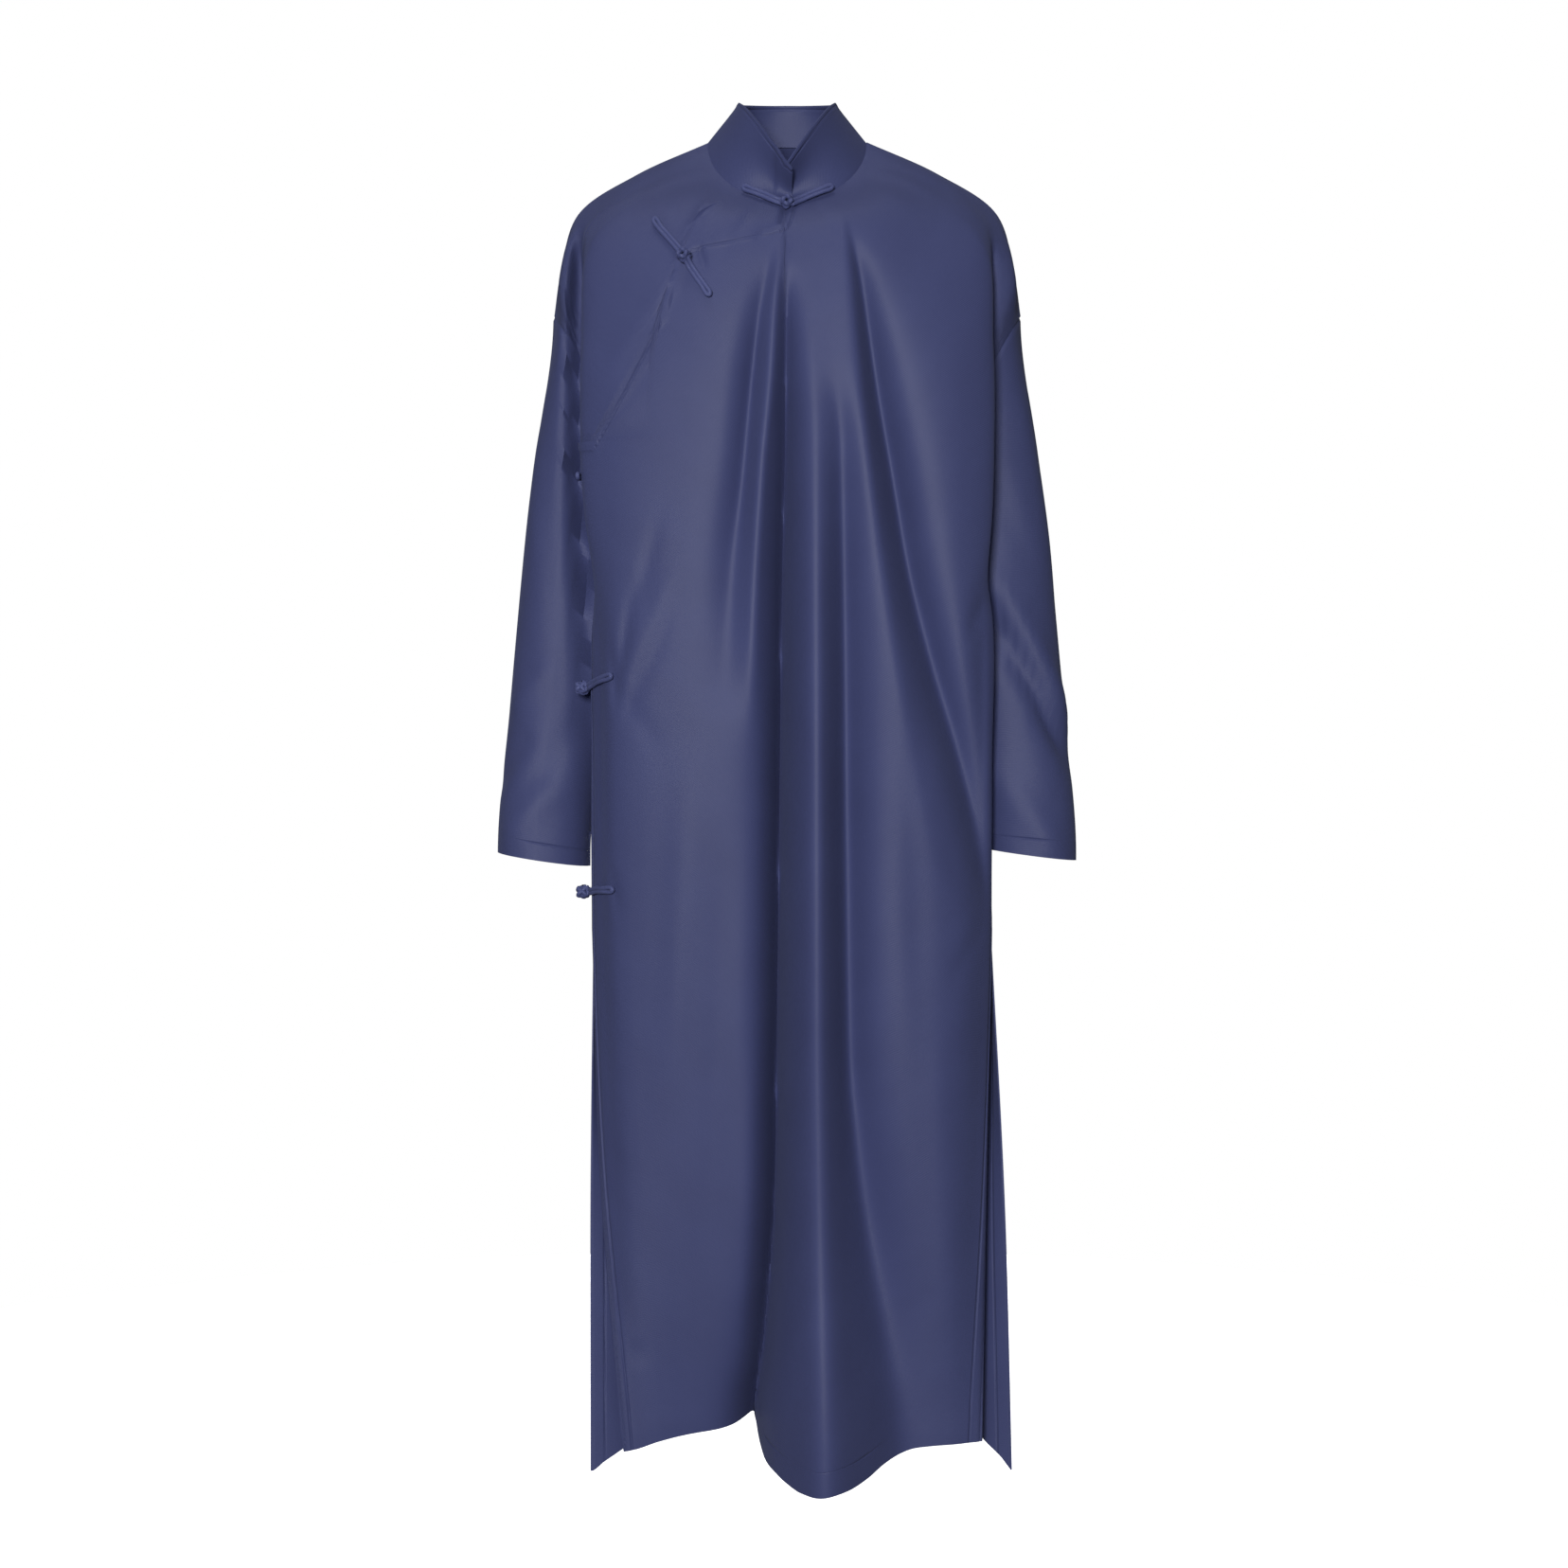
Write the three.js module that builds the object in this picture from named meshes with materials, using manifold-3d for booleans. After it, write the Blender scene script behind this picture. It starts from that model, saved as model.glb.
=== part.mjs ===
// A long side-fastening robe of indigo cotton with a stand collar, side slits and knotted cord fasteners. It
// keeps the hollow form of its wearer. Millimetres, +Z up, the front faces -Y, +X is the wearer's left, and the
// origin is the middle of the neck opening, where the shoulders carry the robe.
import * as THREE from "three";
import { mergeVertices } from "three/addons/utils/BufferGeometryUtils.js";
import Module from "manifold-3d";

const wasm = await Module();
wasm.setup();

// Driving dimensions.
const clothThickness = 1.2;
const seamGap = 0.5;
const overlapRaise = 0.9; // the big front panel lies this much proud of the underlap
const neckHalfWidth = 80;
const neckFront = { y: -62, z: -62 };
const neckSide = { y: 8, z: 10 };
const neckBack = { y: 58, z: 18 };
const rimHalfWidth = 49;
const rimFront = { y: -78, z: -28 };
const rimSide = { y: -2, z: 46 };
const rimBack = { y: 52, z: 57 };
const collarDent = { depth: 6, degrees: 32 }; // how far the collar sinks in above the neck fastener
const collarThickness = 2;
const sleeveSeam = { outerZ: -163, innerZ: -300 };
const cuffZ = { leftOuter: -714, leftInner: -702, rightOuter: -706, rightInner: -720 };
const cordRadius = 2.1;
const knotRadius = 5;
const cordSides = 7;
const cordStep = 6; // length of a cord's facets

const cloth = new THREE.MeshStandardMaterial({ color: "#40466c", roughness: 0.78, metalness: 0 });
const cordCloth = new THREE.MeshStandardMaterial({ color: "#3c4164", roughness: 0.7, metalness: 0 });

// Small helpers.
const radians = THREE.MathUtils.degToRad;
const { lerp, smoothstep } = THREE.MathUtils;
const vector = (x, y, z) => new THREE.Vector3(x, y, z);
const steps = (from, to, count) => Array.from({ length: count + 1 }, (_, i) => lerp(from, to, i / count));
const table = (columns, rows) => ({ columns, rows: [...rows].sort((a, b) => a[0] - b[0]) });

// Smooth reading of one named column of a table; the table's first column is the key.
function read({ columns, rows }, name, at) {
  const column = columns.indexOf(name);
  if (column < 1) throw new Error(name + " is no column of this table");
  const last = rows.length - 1;
  if (at <= rows[0][0]) return rows[0][column];
  if (at >= rows[last][0]) return rows[last][column];
  const i = rows.findIndex((row) => row[0] > at) - 1;
  const slope = (k) => (rows[k + 1][column] - rows[k][column]) / (rows[k + 1][0] - rows[k][0]);
  const tangent = (k) => {
    if (k < 1 || k >= last || slope(k - 1) * slope(k) <= 0) return 0;
    return (2 * slope(k - 1) * slope(k)) / (slope(k - 1) + slope(k));
  };
  const width = rows[i + 1][0] - rows[i][0];
  const t = (at - rows[i][0]) / width;
  return rows[i][column] * (2 * t ** 3 - 3 * t ** 2 + 1) + tangent(i) * width * (t ** 3 - 2 * t ** 2 + t)
    + rows[i + 1][column] * (3 * t ** 2 - 2 * t ** 3) + tangent(i + 1) * width * (t ** 3 - t ** 2);
}

// A smooth line through points, read at a fractional point number.
function along(points, at) {
  const curve = new THREE.CatmullRomCurve3(points, false, "centripetal");
  return curve.getPoint(THREE.MathUtils.clamp(at / (points.length - 1), 0, 1));
}

// Guide lines run from the neck opening down to the underarm: the angle round the neck where the line starts,
// then [x, y, z] at the shoulder, the shoulder tip, the bust and the underarm, on the wearer's left.
const underarm = 4;
const frontYoke = {
  middle: { neck: 0, at: [[0, -94, -95], [0, -113, -155], [0, -124, -225], [0, -130, -300]] },
  chest: { neck: 25, at: [[60, -90, -82], [82, -109, -146], [94, -119, -220], [98, -124, -300]] },
  breast: { neck: 44, at: [[104, -68, -64], [148, -86, -128], [168, -97, -214], [172, -101, -300]] },
  lobe: { neck: 57, at: [[126, -48, -52], [190, -58, -104], [202, -70, -208], [203, -72, -300]] },
  tuck: { neck: 66, at: [[134, -38, -45], [197, -44, -96], [194, -46, -202], [172, -46, -300]] },
  crease: { neck: 72, at: [[141, -27, -39], [201, -30, -88], [180, -16, -196], [140, 14, -300]] },
};
const backYoke = {
  middle: { neck: 180, at: [[0, 92, -20], [0, 108, -90], [0, 112, -190], [0, 108, -300]] },
  chest: { neck: 152, at: [[62, 88, -24], [88, 106, -92], [98, 108, -192], [100, 103, -300]] },
  breast: { neck: 128, at: [[112, 64, -28], [156, 84, -92], [164, 88, -196], [160, 84, -300]] },
  lobe: { neck: 114, at: [[134, 42, -28], [192, 54, -84], [186, 70, -196], [160, 58, -300]] },
  crease: { neck: 104, at: [[144, 28, -26], [202, 36, -76], [190, 46, -192], [140, 14, -300]] },
};

// These lines go on over the upper arm and end on the sleeve's seam, at an angle round the arm.
const frontCap = {
  armFront: { neck: 78, ring: 96, at: [[147, -16, -32], [205, -18, -80], [209, -30, -160]] },
  armSide: { neck: 84, ring: 42, at: [[151, -6, -27], [209, -4, -70], [227, -18, -134]] },
};
const backCap = {
  armBack: { neck: 99, ring: -96, at: [[150, 19, -24], [207, 26, -70], [213, 58, -160]] },
  armSide: { neck: 95, ring: -42, at: [[152, 12, -23], [210, 18, -66], [228, 44, -132]] },
};

// The line over the shoulder and down the outside of the arm, where front and back meet.
const shoulderLine = { neck: 90, ring: 0, at: [[152, 6, -22.5], [211, 8, -62], [228.5, 12, -116]] };

// The sleeve below its seam, by height: how far out its outer edge is, and half its width and depth.
const sleeve = table(["z", "outer", "halfWidth", "halfDepth", "centreY"], [
  [-163, 236, 46, 44, 16],
  [-300, 254, 50, 45, 22],
  [-370, 263.5, 50, 46, 22],
  [-460, 272.5, 50, 47, 21],
  [-560, 281, 49, 46, 15],
  [-709, 292.5, 46, 44, 3],
]);

// The skirts below the underarm, by height: x and y of each guide line, first on the wearer's right.
const skirtColumns = ["z", "rightSideX", "rightSideY", "rightTuckX", "rightTuckY", "rightLobeX", "rightLobeY",
  "rightHipX", "rightHipY", "rightMidX", "rightMidY", "middleY", "leftMidX", "leftMidY", "leftHipX", "leftHipY",
  "leftLobeX", "leftLobeY", "leftTuckX", "leftTuckY", "leftSideX", "leftSideY"];
const isTuck = (name) => name.includes("Tuck");
const frontSkirt = table(skirtColumns, [
  [-370, -158, -12, -178, -52, -198, -74, -170, -102, -98, -126, -132, 98, -126, 170, -102, 201, -74, 180, -52,
    158, -12],
  [-460, -188, -44, -190, -62, -186, -76, -168, -102, -98, -127, -133, 98, -127, 168, -104, 194, -78, 201, -64,
    197, -48],
  [-620, -193, -44, -190, -58, -183, -72, -168, -98, -98, -124, -131, 98, -126, 168, -102, 194, -76, 202, -62,
    203, -46],
  [-780, -193, -40, -190, -52, -182, -66, -166, -88, -98, -112, -124, 98, -120, 168, -97, 194, -70, 202, -56,
    203, -42],
  [-1040, -185, -40, -181, -46, -173, -54, -154, -68, -96, -80, -96, 98, -98, 164, -80, 188, -60, 197, -50,
    199, -40],
  [-1290, -164, -44, -160, -44, -153, -45, -136, -46, -86, -42, -60, 98, -76, 158, -62, 184, -50, 192, -46,
    195, -40],
]);
const backSkirt = table(skirtColumns.filter((name) => !isTuck(name)), [
  [-370, -158, -12, -150, 36, -158, 74, -98, 101, 106, 98, 101, 158, 74, 150, 36, 158, -12],
  [-460, -188, -44, -152, 14, -160, 76, -98, 101, 105, 98, 101, 160, 76, 154, 14, 197, -48],
  [-620, -193, -44, -172, 10, -168, 80, -98, 104, 110, 98, 104, 168, 80, 174, 10, 203, -46],
  [-780, -193, -40, -186, 12, -168, 84, -98, 112, 118, 98, 112, 172, 84, 196, 12, 203, -42],
  [-1040, -197, -32, -176, -21, -158, 78, -96, 116, 124, 96, 116, 178, 78, 204, -17, 218, -30],
  [-1290, -198, -26, -158, -19, -147, 76, -92, 120, 130, 94, 120, 186, 74, 202, -16, 227, -24],
]);
const hem = underarm + frontSkirt.rows.length;
const slit = underarm + 4;
const frontHem = table(["x", "z"], [
  [-166, -1306], [-154, -1304], [-129, -1295.5], [-98, -1289], [-57, -1284], [-39, -1281.5], [-32, -1286],
  [-27, -1303], [-20, -1315], [-11, -1318.5], [0, -1323], [14, -1326.5], [24, -1326.5], [48, -1323.5],
  [62, -1322], [79, -1317], [93, -1310], [110, -1304], [130, -1299], [158, -1297], [196, -1296.5],
]);
const backHem = table(["x", "z"], [
  [-198, -1331], [-185, -1322], [-172, -1314], [-160, -1307], [-145, -1298], [-100, -1292], [0, -1288],
  [100, -1292], [180, -1294], [196, -1300], [206, -1308], [217, -1318], [224, -1327], [228, -1331],
]);

// The largest folds by height: where each runs, how far it moves the cloth back (minus is forward), how wide
// it is to the left and right, and how round it is on top.
const foldColumns = ["z", "x", "depth", "left", "right", "round"];
const frontFolds = {
  mainValley: table(foldColumns, [
    [-120, -1, 0, 8, 8, 3], [-190, -1, 22, 9, 8, 3], [-300, -2, 42, 12, 10, 3], [-440, -5, 56, 14, 11, 3],
    [-620, -7, 66, 15, 11, 3], [-800, -9, 70, 15, 11, 3], [-1040, -12, 72, 16, 11, 3], [-1200, -23, 80, 18, 11, 4],
    [-1300, -34, 92, 20, 10, 4],
  ]),
  mainRidge: table(foldColumns, [
    [-120, 10, 0, 16, 20, 12], [-300, 26, -10, 13, 12, 10], [-560, 30, -26, 13, 11, 12],
    [-800, 31, -32, 13, 12, 13], [-1040, 33, -40, 17, 16, 14], [-1300, 37, -74, 28, 34, 18],
  ]),
  neckRidge: table(foldColumns, [
    [-92, -6, 0, 6, 6, 3], [-160, -11, -10, 8, 7, 4], [-243, -16, -14, 9, 8, 4], [-333, -25, -15, 9, 9, 4],
    [-480, -32, -12, 10, 11, 5], [-620, -34, 0, 12, 12, 8],
  ]),
  neckValley: table(foldColumns, [
    [-102, -14, 0, 8, 8, 4], [-180, -27, 14, 9, 7, 3], [-243, -34, 24, 10, 7, 3], [-333, -44, 27, 12, 8, 3],
    [-425, -56, 26, 16, 11, 4], [-516, -60, 18, 20, 13, 6], [-650, -62, 0, 26, 18, 9],
  ]),
  sideValley: table(foldColumns, [
    [-220, 46, 0, 10, 10, 6], [-300, 52, 14, 9, 11, 4], [-480, 55, 38, 8, 12, 3], [-700, 57, 50, 8, 13, 4],
    [-900, 60, 50, 9, 15, 4], [-985, 67, 46, 11, 18, 5], [-1080, 80, 46, 15, 22, 6], [-1178, 97, 48, 18, 26, 7],
    [-1300, 113, 44, 22, 32, 8],
  ]),
  longRidge: table(foldColumns, [
    [-60, 52, 0, 10, 10, 4], [-140, 62, -9, 12, 8, 5], [-300, 76, -12, 15, 9, 6], [-480, 100, -10, 20, 13, 9],
    [-640, 126, -7, 28, 16, 9], [-760, 146, 0, 28, 18, 9],
  ]),
  longValley: table(foldColumns, [
    [-76, 60, 0, 7, 8, 3], [-150, 72, 20, 7, 11, 3], [-243, 86, 38, 8, 13, 3], [-333, 102, 44, 9, 14, 3],
    [-425, 118, 46, 10, 14, 4], [-516, 141, 46, 10, 13, 4], [-608, 168, 38, 10, 11, 4], [-700, 188, 20, 9, 8, 5],
    [-780, 199, 0, 8, 8, 6],
  ]),
};
const backFolds = {
  centreRidge: table(foldColumns, [
    [-60, 4, 0, 12, 12, 6], [-300, 8, 9, 22, 20, 10], [-700, 12, 16, 26, 26, 12], [-1300, 18, 40, 44, 40, 16],
  ]),
  rightValley: table(foldColumns, [
    [-120, -40, 0, 14, 14, 6], [-300, -48, -12, 20, 18, 8], [-700, -56, -22, 24, 22, 10],
    [-1300, -66, -46, 34, 28, 12],
  ]),
  leftValley: table(foldColumns, [
    [-120, 52, 0, 14, 14, 6], [-300, 62, -10, 18, 20, 8], [-700, 72, -20, 22, 26, 10],
    [-1300, 86, -40, 30, 36, 12],
  ]),
  rightRidge: table(foldColumns, [
    [-200, -94, 0, 18, 16, 8], [-700, -108, 10, 26, 22, 10], [-1300, -122, 26, 34, 30, 14],
  ]),
  leftRidge: table(foldColumns, [
    [-200, 104, 0, 18, 16, 8], [-700, 126, 9, 24, 24, 10], [-1300, 146, 22, 30, 34, 14],
  ]),
};

// The deep groove between the body and the front of the right arm, by height: how far out and how deep it is.
const armGroove = table(["z", "x", "depth", "width"], [
  [-72, 205, 0, 8], [-110, 208, 14, 9], [-163, 209, 22, 10], [-300, 209, 24, 12], [-400, 205, 24, 14],
  [-470, 202, 18, 14], [-560, 198, 10, 12], [-700, 196, 4, 10],
]);
function grooveAt(side, x, z) {
  if (side > 0) return 0;
  const away = (Math.abs(x) - read(armGroove, "x", z)) / read(armGroove, "width", z);
  return read(armGroove, "depth", z) * Math.exp(-(away ** 2));
}

// Creases across the left sleeve: degrees round the arm and height at both ends, how far out, and how wide.
const sleeveCreases = {
  columns: ["fromDegrees", "fromZ", "toDegrees", "toZ", "out", "width"],
  rows: [[128, -445, 30, -600, -11, 16], [118, -426, 22, -572, 7, 19]],
};
function creaseAt(side, degrees, z) {
  if (side < 0) return 0;
  return sleeveCreases.rows.reduce((sum, [fromDegrees, fromZ, toDegrees, toZ, out, width]) => {
    const round = 0.85; // millimetres round the arm in a degree
    const [x, y] = [(toDegrees - fromDegrees) * round, toZ - fromZ];
    const length = Math.hypot(x, y);
    const t = ((degrees - fromDegrees) * round * x + (z - fromZ) * y) / length ** 2;
    const away = ((degrees - fromDegrees) * round * y - (z - fromZ) * x) / length;
    const ends = smoothstep(t, -0.2, 0.15) * (1 - smoothstep(t, 0.8, 1.25));
    return sum + out * ends * Math.exp(-((away / width) ** 2));
  }, 0);
}

// How far the folds move the cloth along Y at one place.
function relief(folds, x, z) {
  return Object.values(folds).reduce((sum, fold) => {
    const away = x - read(fold, "x", z);
    const width = read(fold, away < 0 ? "left" : "right", z);
    const round = read(fold, "round", z);
    return sum + read(fold, "depth", z) * Math.exp((round - Math.hypot(away, round)) / width);
  }, 0);
}

// A ring round the neck, by the angle from its front.
function ringPoint(degrees, side, halfWidth, front, middle, back) {
  const end = Math.cos(radians(degrees)) > 0 ? front : back;
  const share = Math.abs(Math.cos(radians(degrees)));
  return vector(side * halfWidth * Math.sin(radians(degrees)), lerp(middle.y, end.y, share),
    lerp(middle.z, end.z, share));
}
const neckPoint = (degrees, side = 1) => ringPoint(degrees, side, neckHalfWidth, neckFront, neckSide, neckBack);
// The rim falls to a point at the front, and the end that laps over goes on falling past it.
function rimPoint(degrees) {
  const p = ringPoint(degrees, 1, rimHalfWidth, rimFront, rimSide, rimBack);
  if (Math.cos(radians(degrees)) <= 0) return p;
  const fall = degrees > 360 ? 1 + 0.8 * Math.sin(radians(degrees)) : 1 - Math.abs(Math.sin(radians(degrees)));
  return p.setZ(lerp(rimSide.z, rimFront.z, fall));
}

// A sleeve's wall by the angle round it, from the outside over the front, and by height.
function sleevePoint(side, degrees, z) {
  const [wide, deep] = [read(sleeve, "halfWidth", z), read(sleeve, "halfDepth", z)];
  const x = read(sleeve, "outer", z) - wide + wide * Math.cos(radians(degrees));
  return vector(side * x, read(sleeve, "centreY", z) - deep * Math.sin(radians(degrees)), z);
}
const seamZ = (degrees) => lerp(sleeveSeam.outerZ, sleeveSeam.innerZ, (1 - Math.cos(radians(degrees))) / 2);

// The points of one guide line down the garment.
const skirtNames = { chest: "Mid", breast: "Hip", lobe: "Lobe", tuck: "Tuck", crease: "Side" };
function guide(line, side, name, skirt) {
  const points = [neckPoint(line.neck, side), ...line.at.map(([x, y, z]) => vector(side * x, y, z))];
  if (line.ring !== undefined) return [...points, sleevePoint(side, line.ring, seamZ(line.ring))];
  const levels = skirt.rows.map((row) => row[0]).reverse();
  const prefix = side > 0 ? "left" : "right";
  return [...points, ...levels.map((z) => {
    const x = name === "middle" ? 0 : read(skirt, prefix + skirtNames[name] + "X", z);
    const y = read(skirt, name === "middle" ? "middleY" : prefix + skirtNames[name] + "Y", z);
    return vector(x, y, z);
  })];
}

// One side of the garment as a surface. u counts the guide lines from the middle to each shoulder line, minus
// on the wearer's right; v counts the stations down.
function garmentSide(yoke, cap, skirt, hemLine, folds) {
  const half = (side) => [
    ...Object.entries(yoke).map(([name, line]) => guide(line, side, name, skirt)),
    ...[...Object.values(cap), shoulderLine].map((line) => guide(line, side)),
  ];
  const [right, left] = [half(-1), half(1)];
  const reach = left.length - 1;
  const body = Object.keys(yoke).length - 1;
  // Between the underarm and the slits the two sides share the line they are sewn along.
  const edgeAt = (line, v) => {
    if (v <= underarm) return along(line, v);
    if (v <= slit) return along(line.slice(underarm, slit + 1), v - underarm);
    return along(line.slice(slit), v - slit);
  };
  // Below the underarm the line past the body's edge fades from the arm's to a plain continuation.
  const beyond = (side, v) => {
    const edge = edgeAt(side[body], v);
    const arm = side[body + 1][underarm].clone().add(edge).sub(side[body][underarm]);
    const plain = edge.clone().multiplyScalar(2).sub(along(side[body - 1], v));
    return arm.lerp(plain, smoothstep(v, underarm, underarm + 1));
  };
  const point = (u, v) => {
    const used = v > underarm ? body : reach;
    const lineAt = (line, k) => (k === body ? edgeAt(line, v) : along(line, v));
    const row = [...right.slice(0, used + 1).map(lineAt).slice(1).reverse(), ...left.slice(0, used + 1).map(lineAt)];
    if (v > underarm) row.unshift(beyond(right, v));
    if (v > underarm) row.push(beyond(left, v));
    const p = along(row, u + (row.length - 1) / 2);
    // The lowest stretch reaches down to the hem line.
    const reachDown = Math.max(0, v - hem + 1) ** 2;
    p.setZ(p.z + (read(hemLine, "z", p.x) - skirt.rows[0][0]) * reachDown);
    if (folds === frontFolds && Math.abs(u) > body)
      p.y += grooveAt(u, p.x, p.z) * smoothstep(Math.abs(u), body, body + 0.6) * smoothstep(reach - Math.abs(u), 0, 0.8);
    return p.setY(p.y + relief(folds, p.x, p.z) * smoothstep(body - Math.abs(u), 0, 0.8));
  };
  return { point, reach, body };
}
const front = garmentSide(frontYoke, frontCap, frontSkirt, frontHem, frontFolds);
const back = garmentSide(backYoke, backCap, backSkirt, backHem, backFolds);

// A sheet of points with its own normals, from rows that run down and columns that run across. Where sheets
// meet, a rule gives both the same normals.
function sheet(rows, { outward = 1, normalRule = () => null } = {}) {
  const ids = new Map();
  const places = [];
  const grid = rows.map((row) => row.map((p) => {
    const key = [p.x, p.y, p.z].map((n) => n.toFixed(2)).join();
    if (!ids.has(key)) {
      ids.set(key, places.length);
      places.push(p);
    }
    return ids.get(key);
  }));
  const made = { places, grid, outward, normals: places.map(() => vector(0, 0, 0)) };
  for (const [a, b, c] of facesOf(made, () => true)) {
    const face = places[b].clone().sub(places[a]).cross(places[c].clone().sub(places[a]));
    for (const k of [a, b, c]) made.normals[k].add(face);
  }
  made.normals.forEach((n) => n.normalize());
  grid.forEach((row, i) => row.forEach((k, j) => {
    const ruled = normalRule(i, j, places[k], made.normals[k]);
    if (ruled) made.normals[k].copy(ruled.normalize());
  }));
  return made;
}

// The triangles of those cells of a sheet that a piece is cut from.
function facesOf({ grid, outward }, inPiece) {
  const faces = [];
  for (let i = 0; i < grid.length - 1; i += 1)
    for (let j = 0; j < grid[i].length - 1; j += 1) {
      if (!inPiece(i, j)) continue;
      const [a, b, c, d] = [grid[i][j], grid[i + 1][j], grid[i + 1][j + 1], grid[i][j + 1]];
      faces.push([a, b, c], [a, c, d]);
    }
  return faces.filter(([a, b, c]) => a !== b && b !== c && c !== a)
    .map(([a, b, c]) => (outward > 0 ? [a, b, c] : [a, c, b]));
}

// The closed wall of one piece: it fills from raise to raise less its thickness along the sheet's normals, and
// its edges are held back from what it is sewn to by moving them as told.
function wall(made, inPiece, { thickness = clothThickness, raise = 0, move = () => null } = {}) {
  const faces = facesOf(made, inPiece);
  const moved = new Map();
  made.grid.forEach((row, i) => row.forEach((k, j) => {
    const shift = move(i, j);
    if (shift) moved.set(k, shift);
  }));
  const at = (level) => made.places.map((p, k) => {
    const place = p.clone().addScaledVector(made.normals[k], level);
    return moved.has(k) ? place.add(moved.get(k)) : place;
  });
  const edges = new Set(faces.flatMap(([a, b, c]) => [`${a},${b}`, `${b},${c}`, `${c},${a}`]));
  const n = made.places.length;
  const all = faces.flatMap(([a, b, c]) => [[a, b, c], [n + c, n + b, n + a]]);
  for (const edge of edges) {
    const [a, b] = edge.split(",").map(Number);
    if (!edges.has(`${b},${a}`)) all.push([b, a, n + a], [b, n + a, n + b]);
  }
  const places = [...at(raise), ...at(raise - thickness)];
  const used = [...new Set(all.flat())];
  const renumber = new Map(used.map((k, i) => [k, i]));
  return new THREE.BufferGeometry()
    .setAttribute("position", new THREE.Float32BufferAttribute(used.flatMap((k) => places[k].toArray()), 3))
    .setIndex(all.flat().map((k) => renumber.get(k)));
}

// Where the big panel's upper edge runs, from the middle of the neck to the wearer's right side.
const openingLine = table(["x", "z"], [
  [-201, -321], [-190, -298], [-173, -267], [-154, -231], [-135, -194], [-124, -173], [-116, -155], [-108, -119],
  [-102, -113], [-83, -105.5], [-59, -101], [-30, -95], [-8, -91], [-3, -84], [0, -62],
]);
function openingV(u) {
  if (u <= -front.body) return underarm;
  let [low, high] = [0, underarm];
  for (let i = 0; i < 24; i += 1) {
    const v = (low + high) / 2;
    const p = front.point(u, v);
    if (p.z > read(openingLine, "z", p.x)) low = v;
    else high = v;
  }
  return u >= 0 ? 0 : (low + high) / 2;
}

// One sheet of points for the whole front: first the rows above the opening edge, then those down to the
// underarm, then the skirt. Both front pieces are cut from it, so they lie on each other.
const upperRows = 8;
const yokeRows = 11;
const skirtLevels = [...steps(underarm, underarm + 2, 5), ...steps(underarm + 2, slit, 6).slice(1),
  ...steps(slit, hem, 8).slice(1)].slice(1);
const frontColumns = [
  ...steps(-8, -5, 9).slice(0, -1), ...steps(-5, -1.65, 8), ...steps(-1.35, 1.5, 19), ...steps(1.8, 5, 8),
  ...steps(5, 8, 9).slice(1),
];
const lastYokeRow = upperRows + yokeRows;
const bodyOnly = (surface, u) => Math.sign(u) * Math.min(Math.abs(u), surface.body);

// Which seam a point of a sheet lies on.
function seamAt(surface, columns, yokeRow, i, j) {
  const u = Math.abs(columns[j]);
  if (Math.abs(u - surface.body) < 0.01 && i === yokeRow) return "underarm";
  if (u > surface.body && i === yokeRow) return "sleeve";
  if (u > surface.reach - 0.01 && i < yokeRow) return "shoulder";
  return Math.abs(u - surface.body) < 0.01 && i > yokeRow ? "side" : null;
}
function armNormal(p) {
  const [wide, deep] = [read(sleeve, "halfWidth", p.z), read(sleeve, "halfDepth", p.z)];
  const x = (Math.abs(p.x) - read(sleeve, "outer", p.z) + wide) / wide ** 2;
  return vector(Math.sign(p.x) * x, (p.y - read(sleeve, "centreY", p.z)) / deep ** 2, 0);
}
const seamNormals = (surface, columns, yokeRow) => (i, j, p, normal) => {
  const seam = seamAt(surface, columns, yokeRow, i, j);
  if (seam === "sleeve") return armNormal(p);
  return seam === "shoulder" || seam === "side" ? normal.clone().setY(0) : null;
};

// How far each seam's edge is held back from its neighbour.
const holdBack = (surface, columns, yokeRow, facing) => (i, j) => {
  const seam = seamAt(surface, columns, yokeRow, i, j);
  const end = Math.abs(columns[j]) > surface.reach - 0.01 ? seamGap / 2 : 0;
  if (seam === "sleeve") return vector(0, facing * end, seamGap / 2);
  if (seam === "underarm") return vector(0, facing * 1.6, seamGap);
  return seam ? vector(0, facing * seamGap / 2, 0) : null;
};
const frontSheet = sheet([
  ...steps(0, 1, upperRows).map((t) => frontColumns.map((u) => front.point(u, openingV(u) * t))),
  ...steps(0, 1, yokeRows).slice(1).map((t) => frontColumns.map((u) => front.point(u, lerp(openingV(u), underarm, t)))),
  ...skirtLevels.map((v) => frontColumns.map((u) => front.point(bodyOnly(front, u), v))),
], { normalRule: seamNormals(front, frontColumns, lastYokeRow) });
const frontHold = holdBack(front, frontColumns, lastYokeRow, -1);

const backColumns = [...steps(-7, -4, 9).slice(0, -1), ...steps(-4, 4, 24), ...steps(4, 7, 9).slice(1)];
const backYokeRows = 12;
const backSheet = sheet([
  ...steps(0, underarm, backYokeRows).map((v) => backColumns.map((u) => back.point(u, v))),
  ...skirtLevels.map((v) => backColumns.map((u) => back.point(bodyOnly(back, u), v))),
], { outward: -1, normalRule: seamNormals(back, backColumns, backYokeRows) });
const backHold = holdBack(back, backColumns, backYokeRows, 1);
const inBody = (surface, columns, j) => Math.abs(columns[j] + columns[j + 1]) / 2 < surface.body;

const root = new THREE.Group();
function add(name, geometry, material = cloth) {
  const mesh = new THREE.Mesh(geometry, material);
  mesh.name = name;
  root.add(mesh);
}

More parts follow.
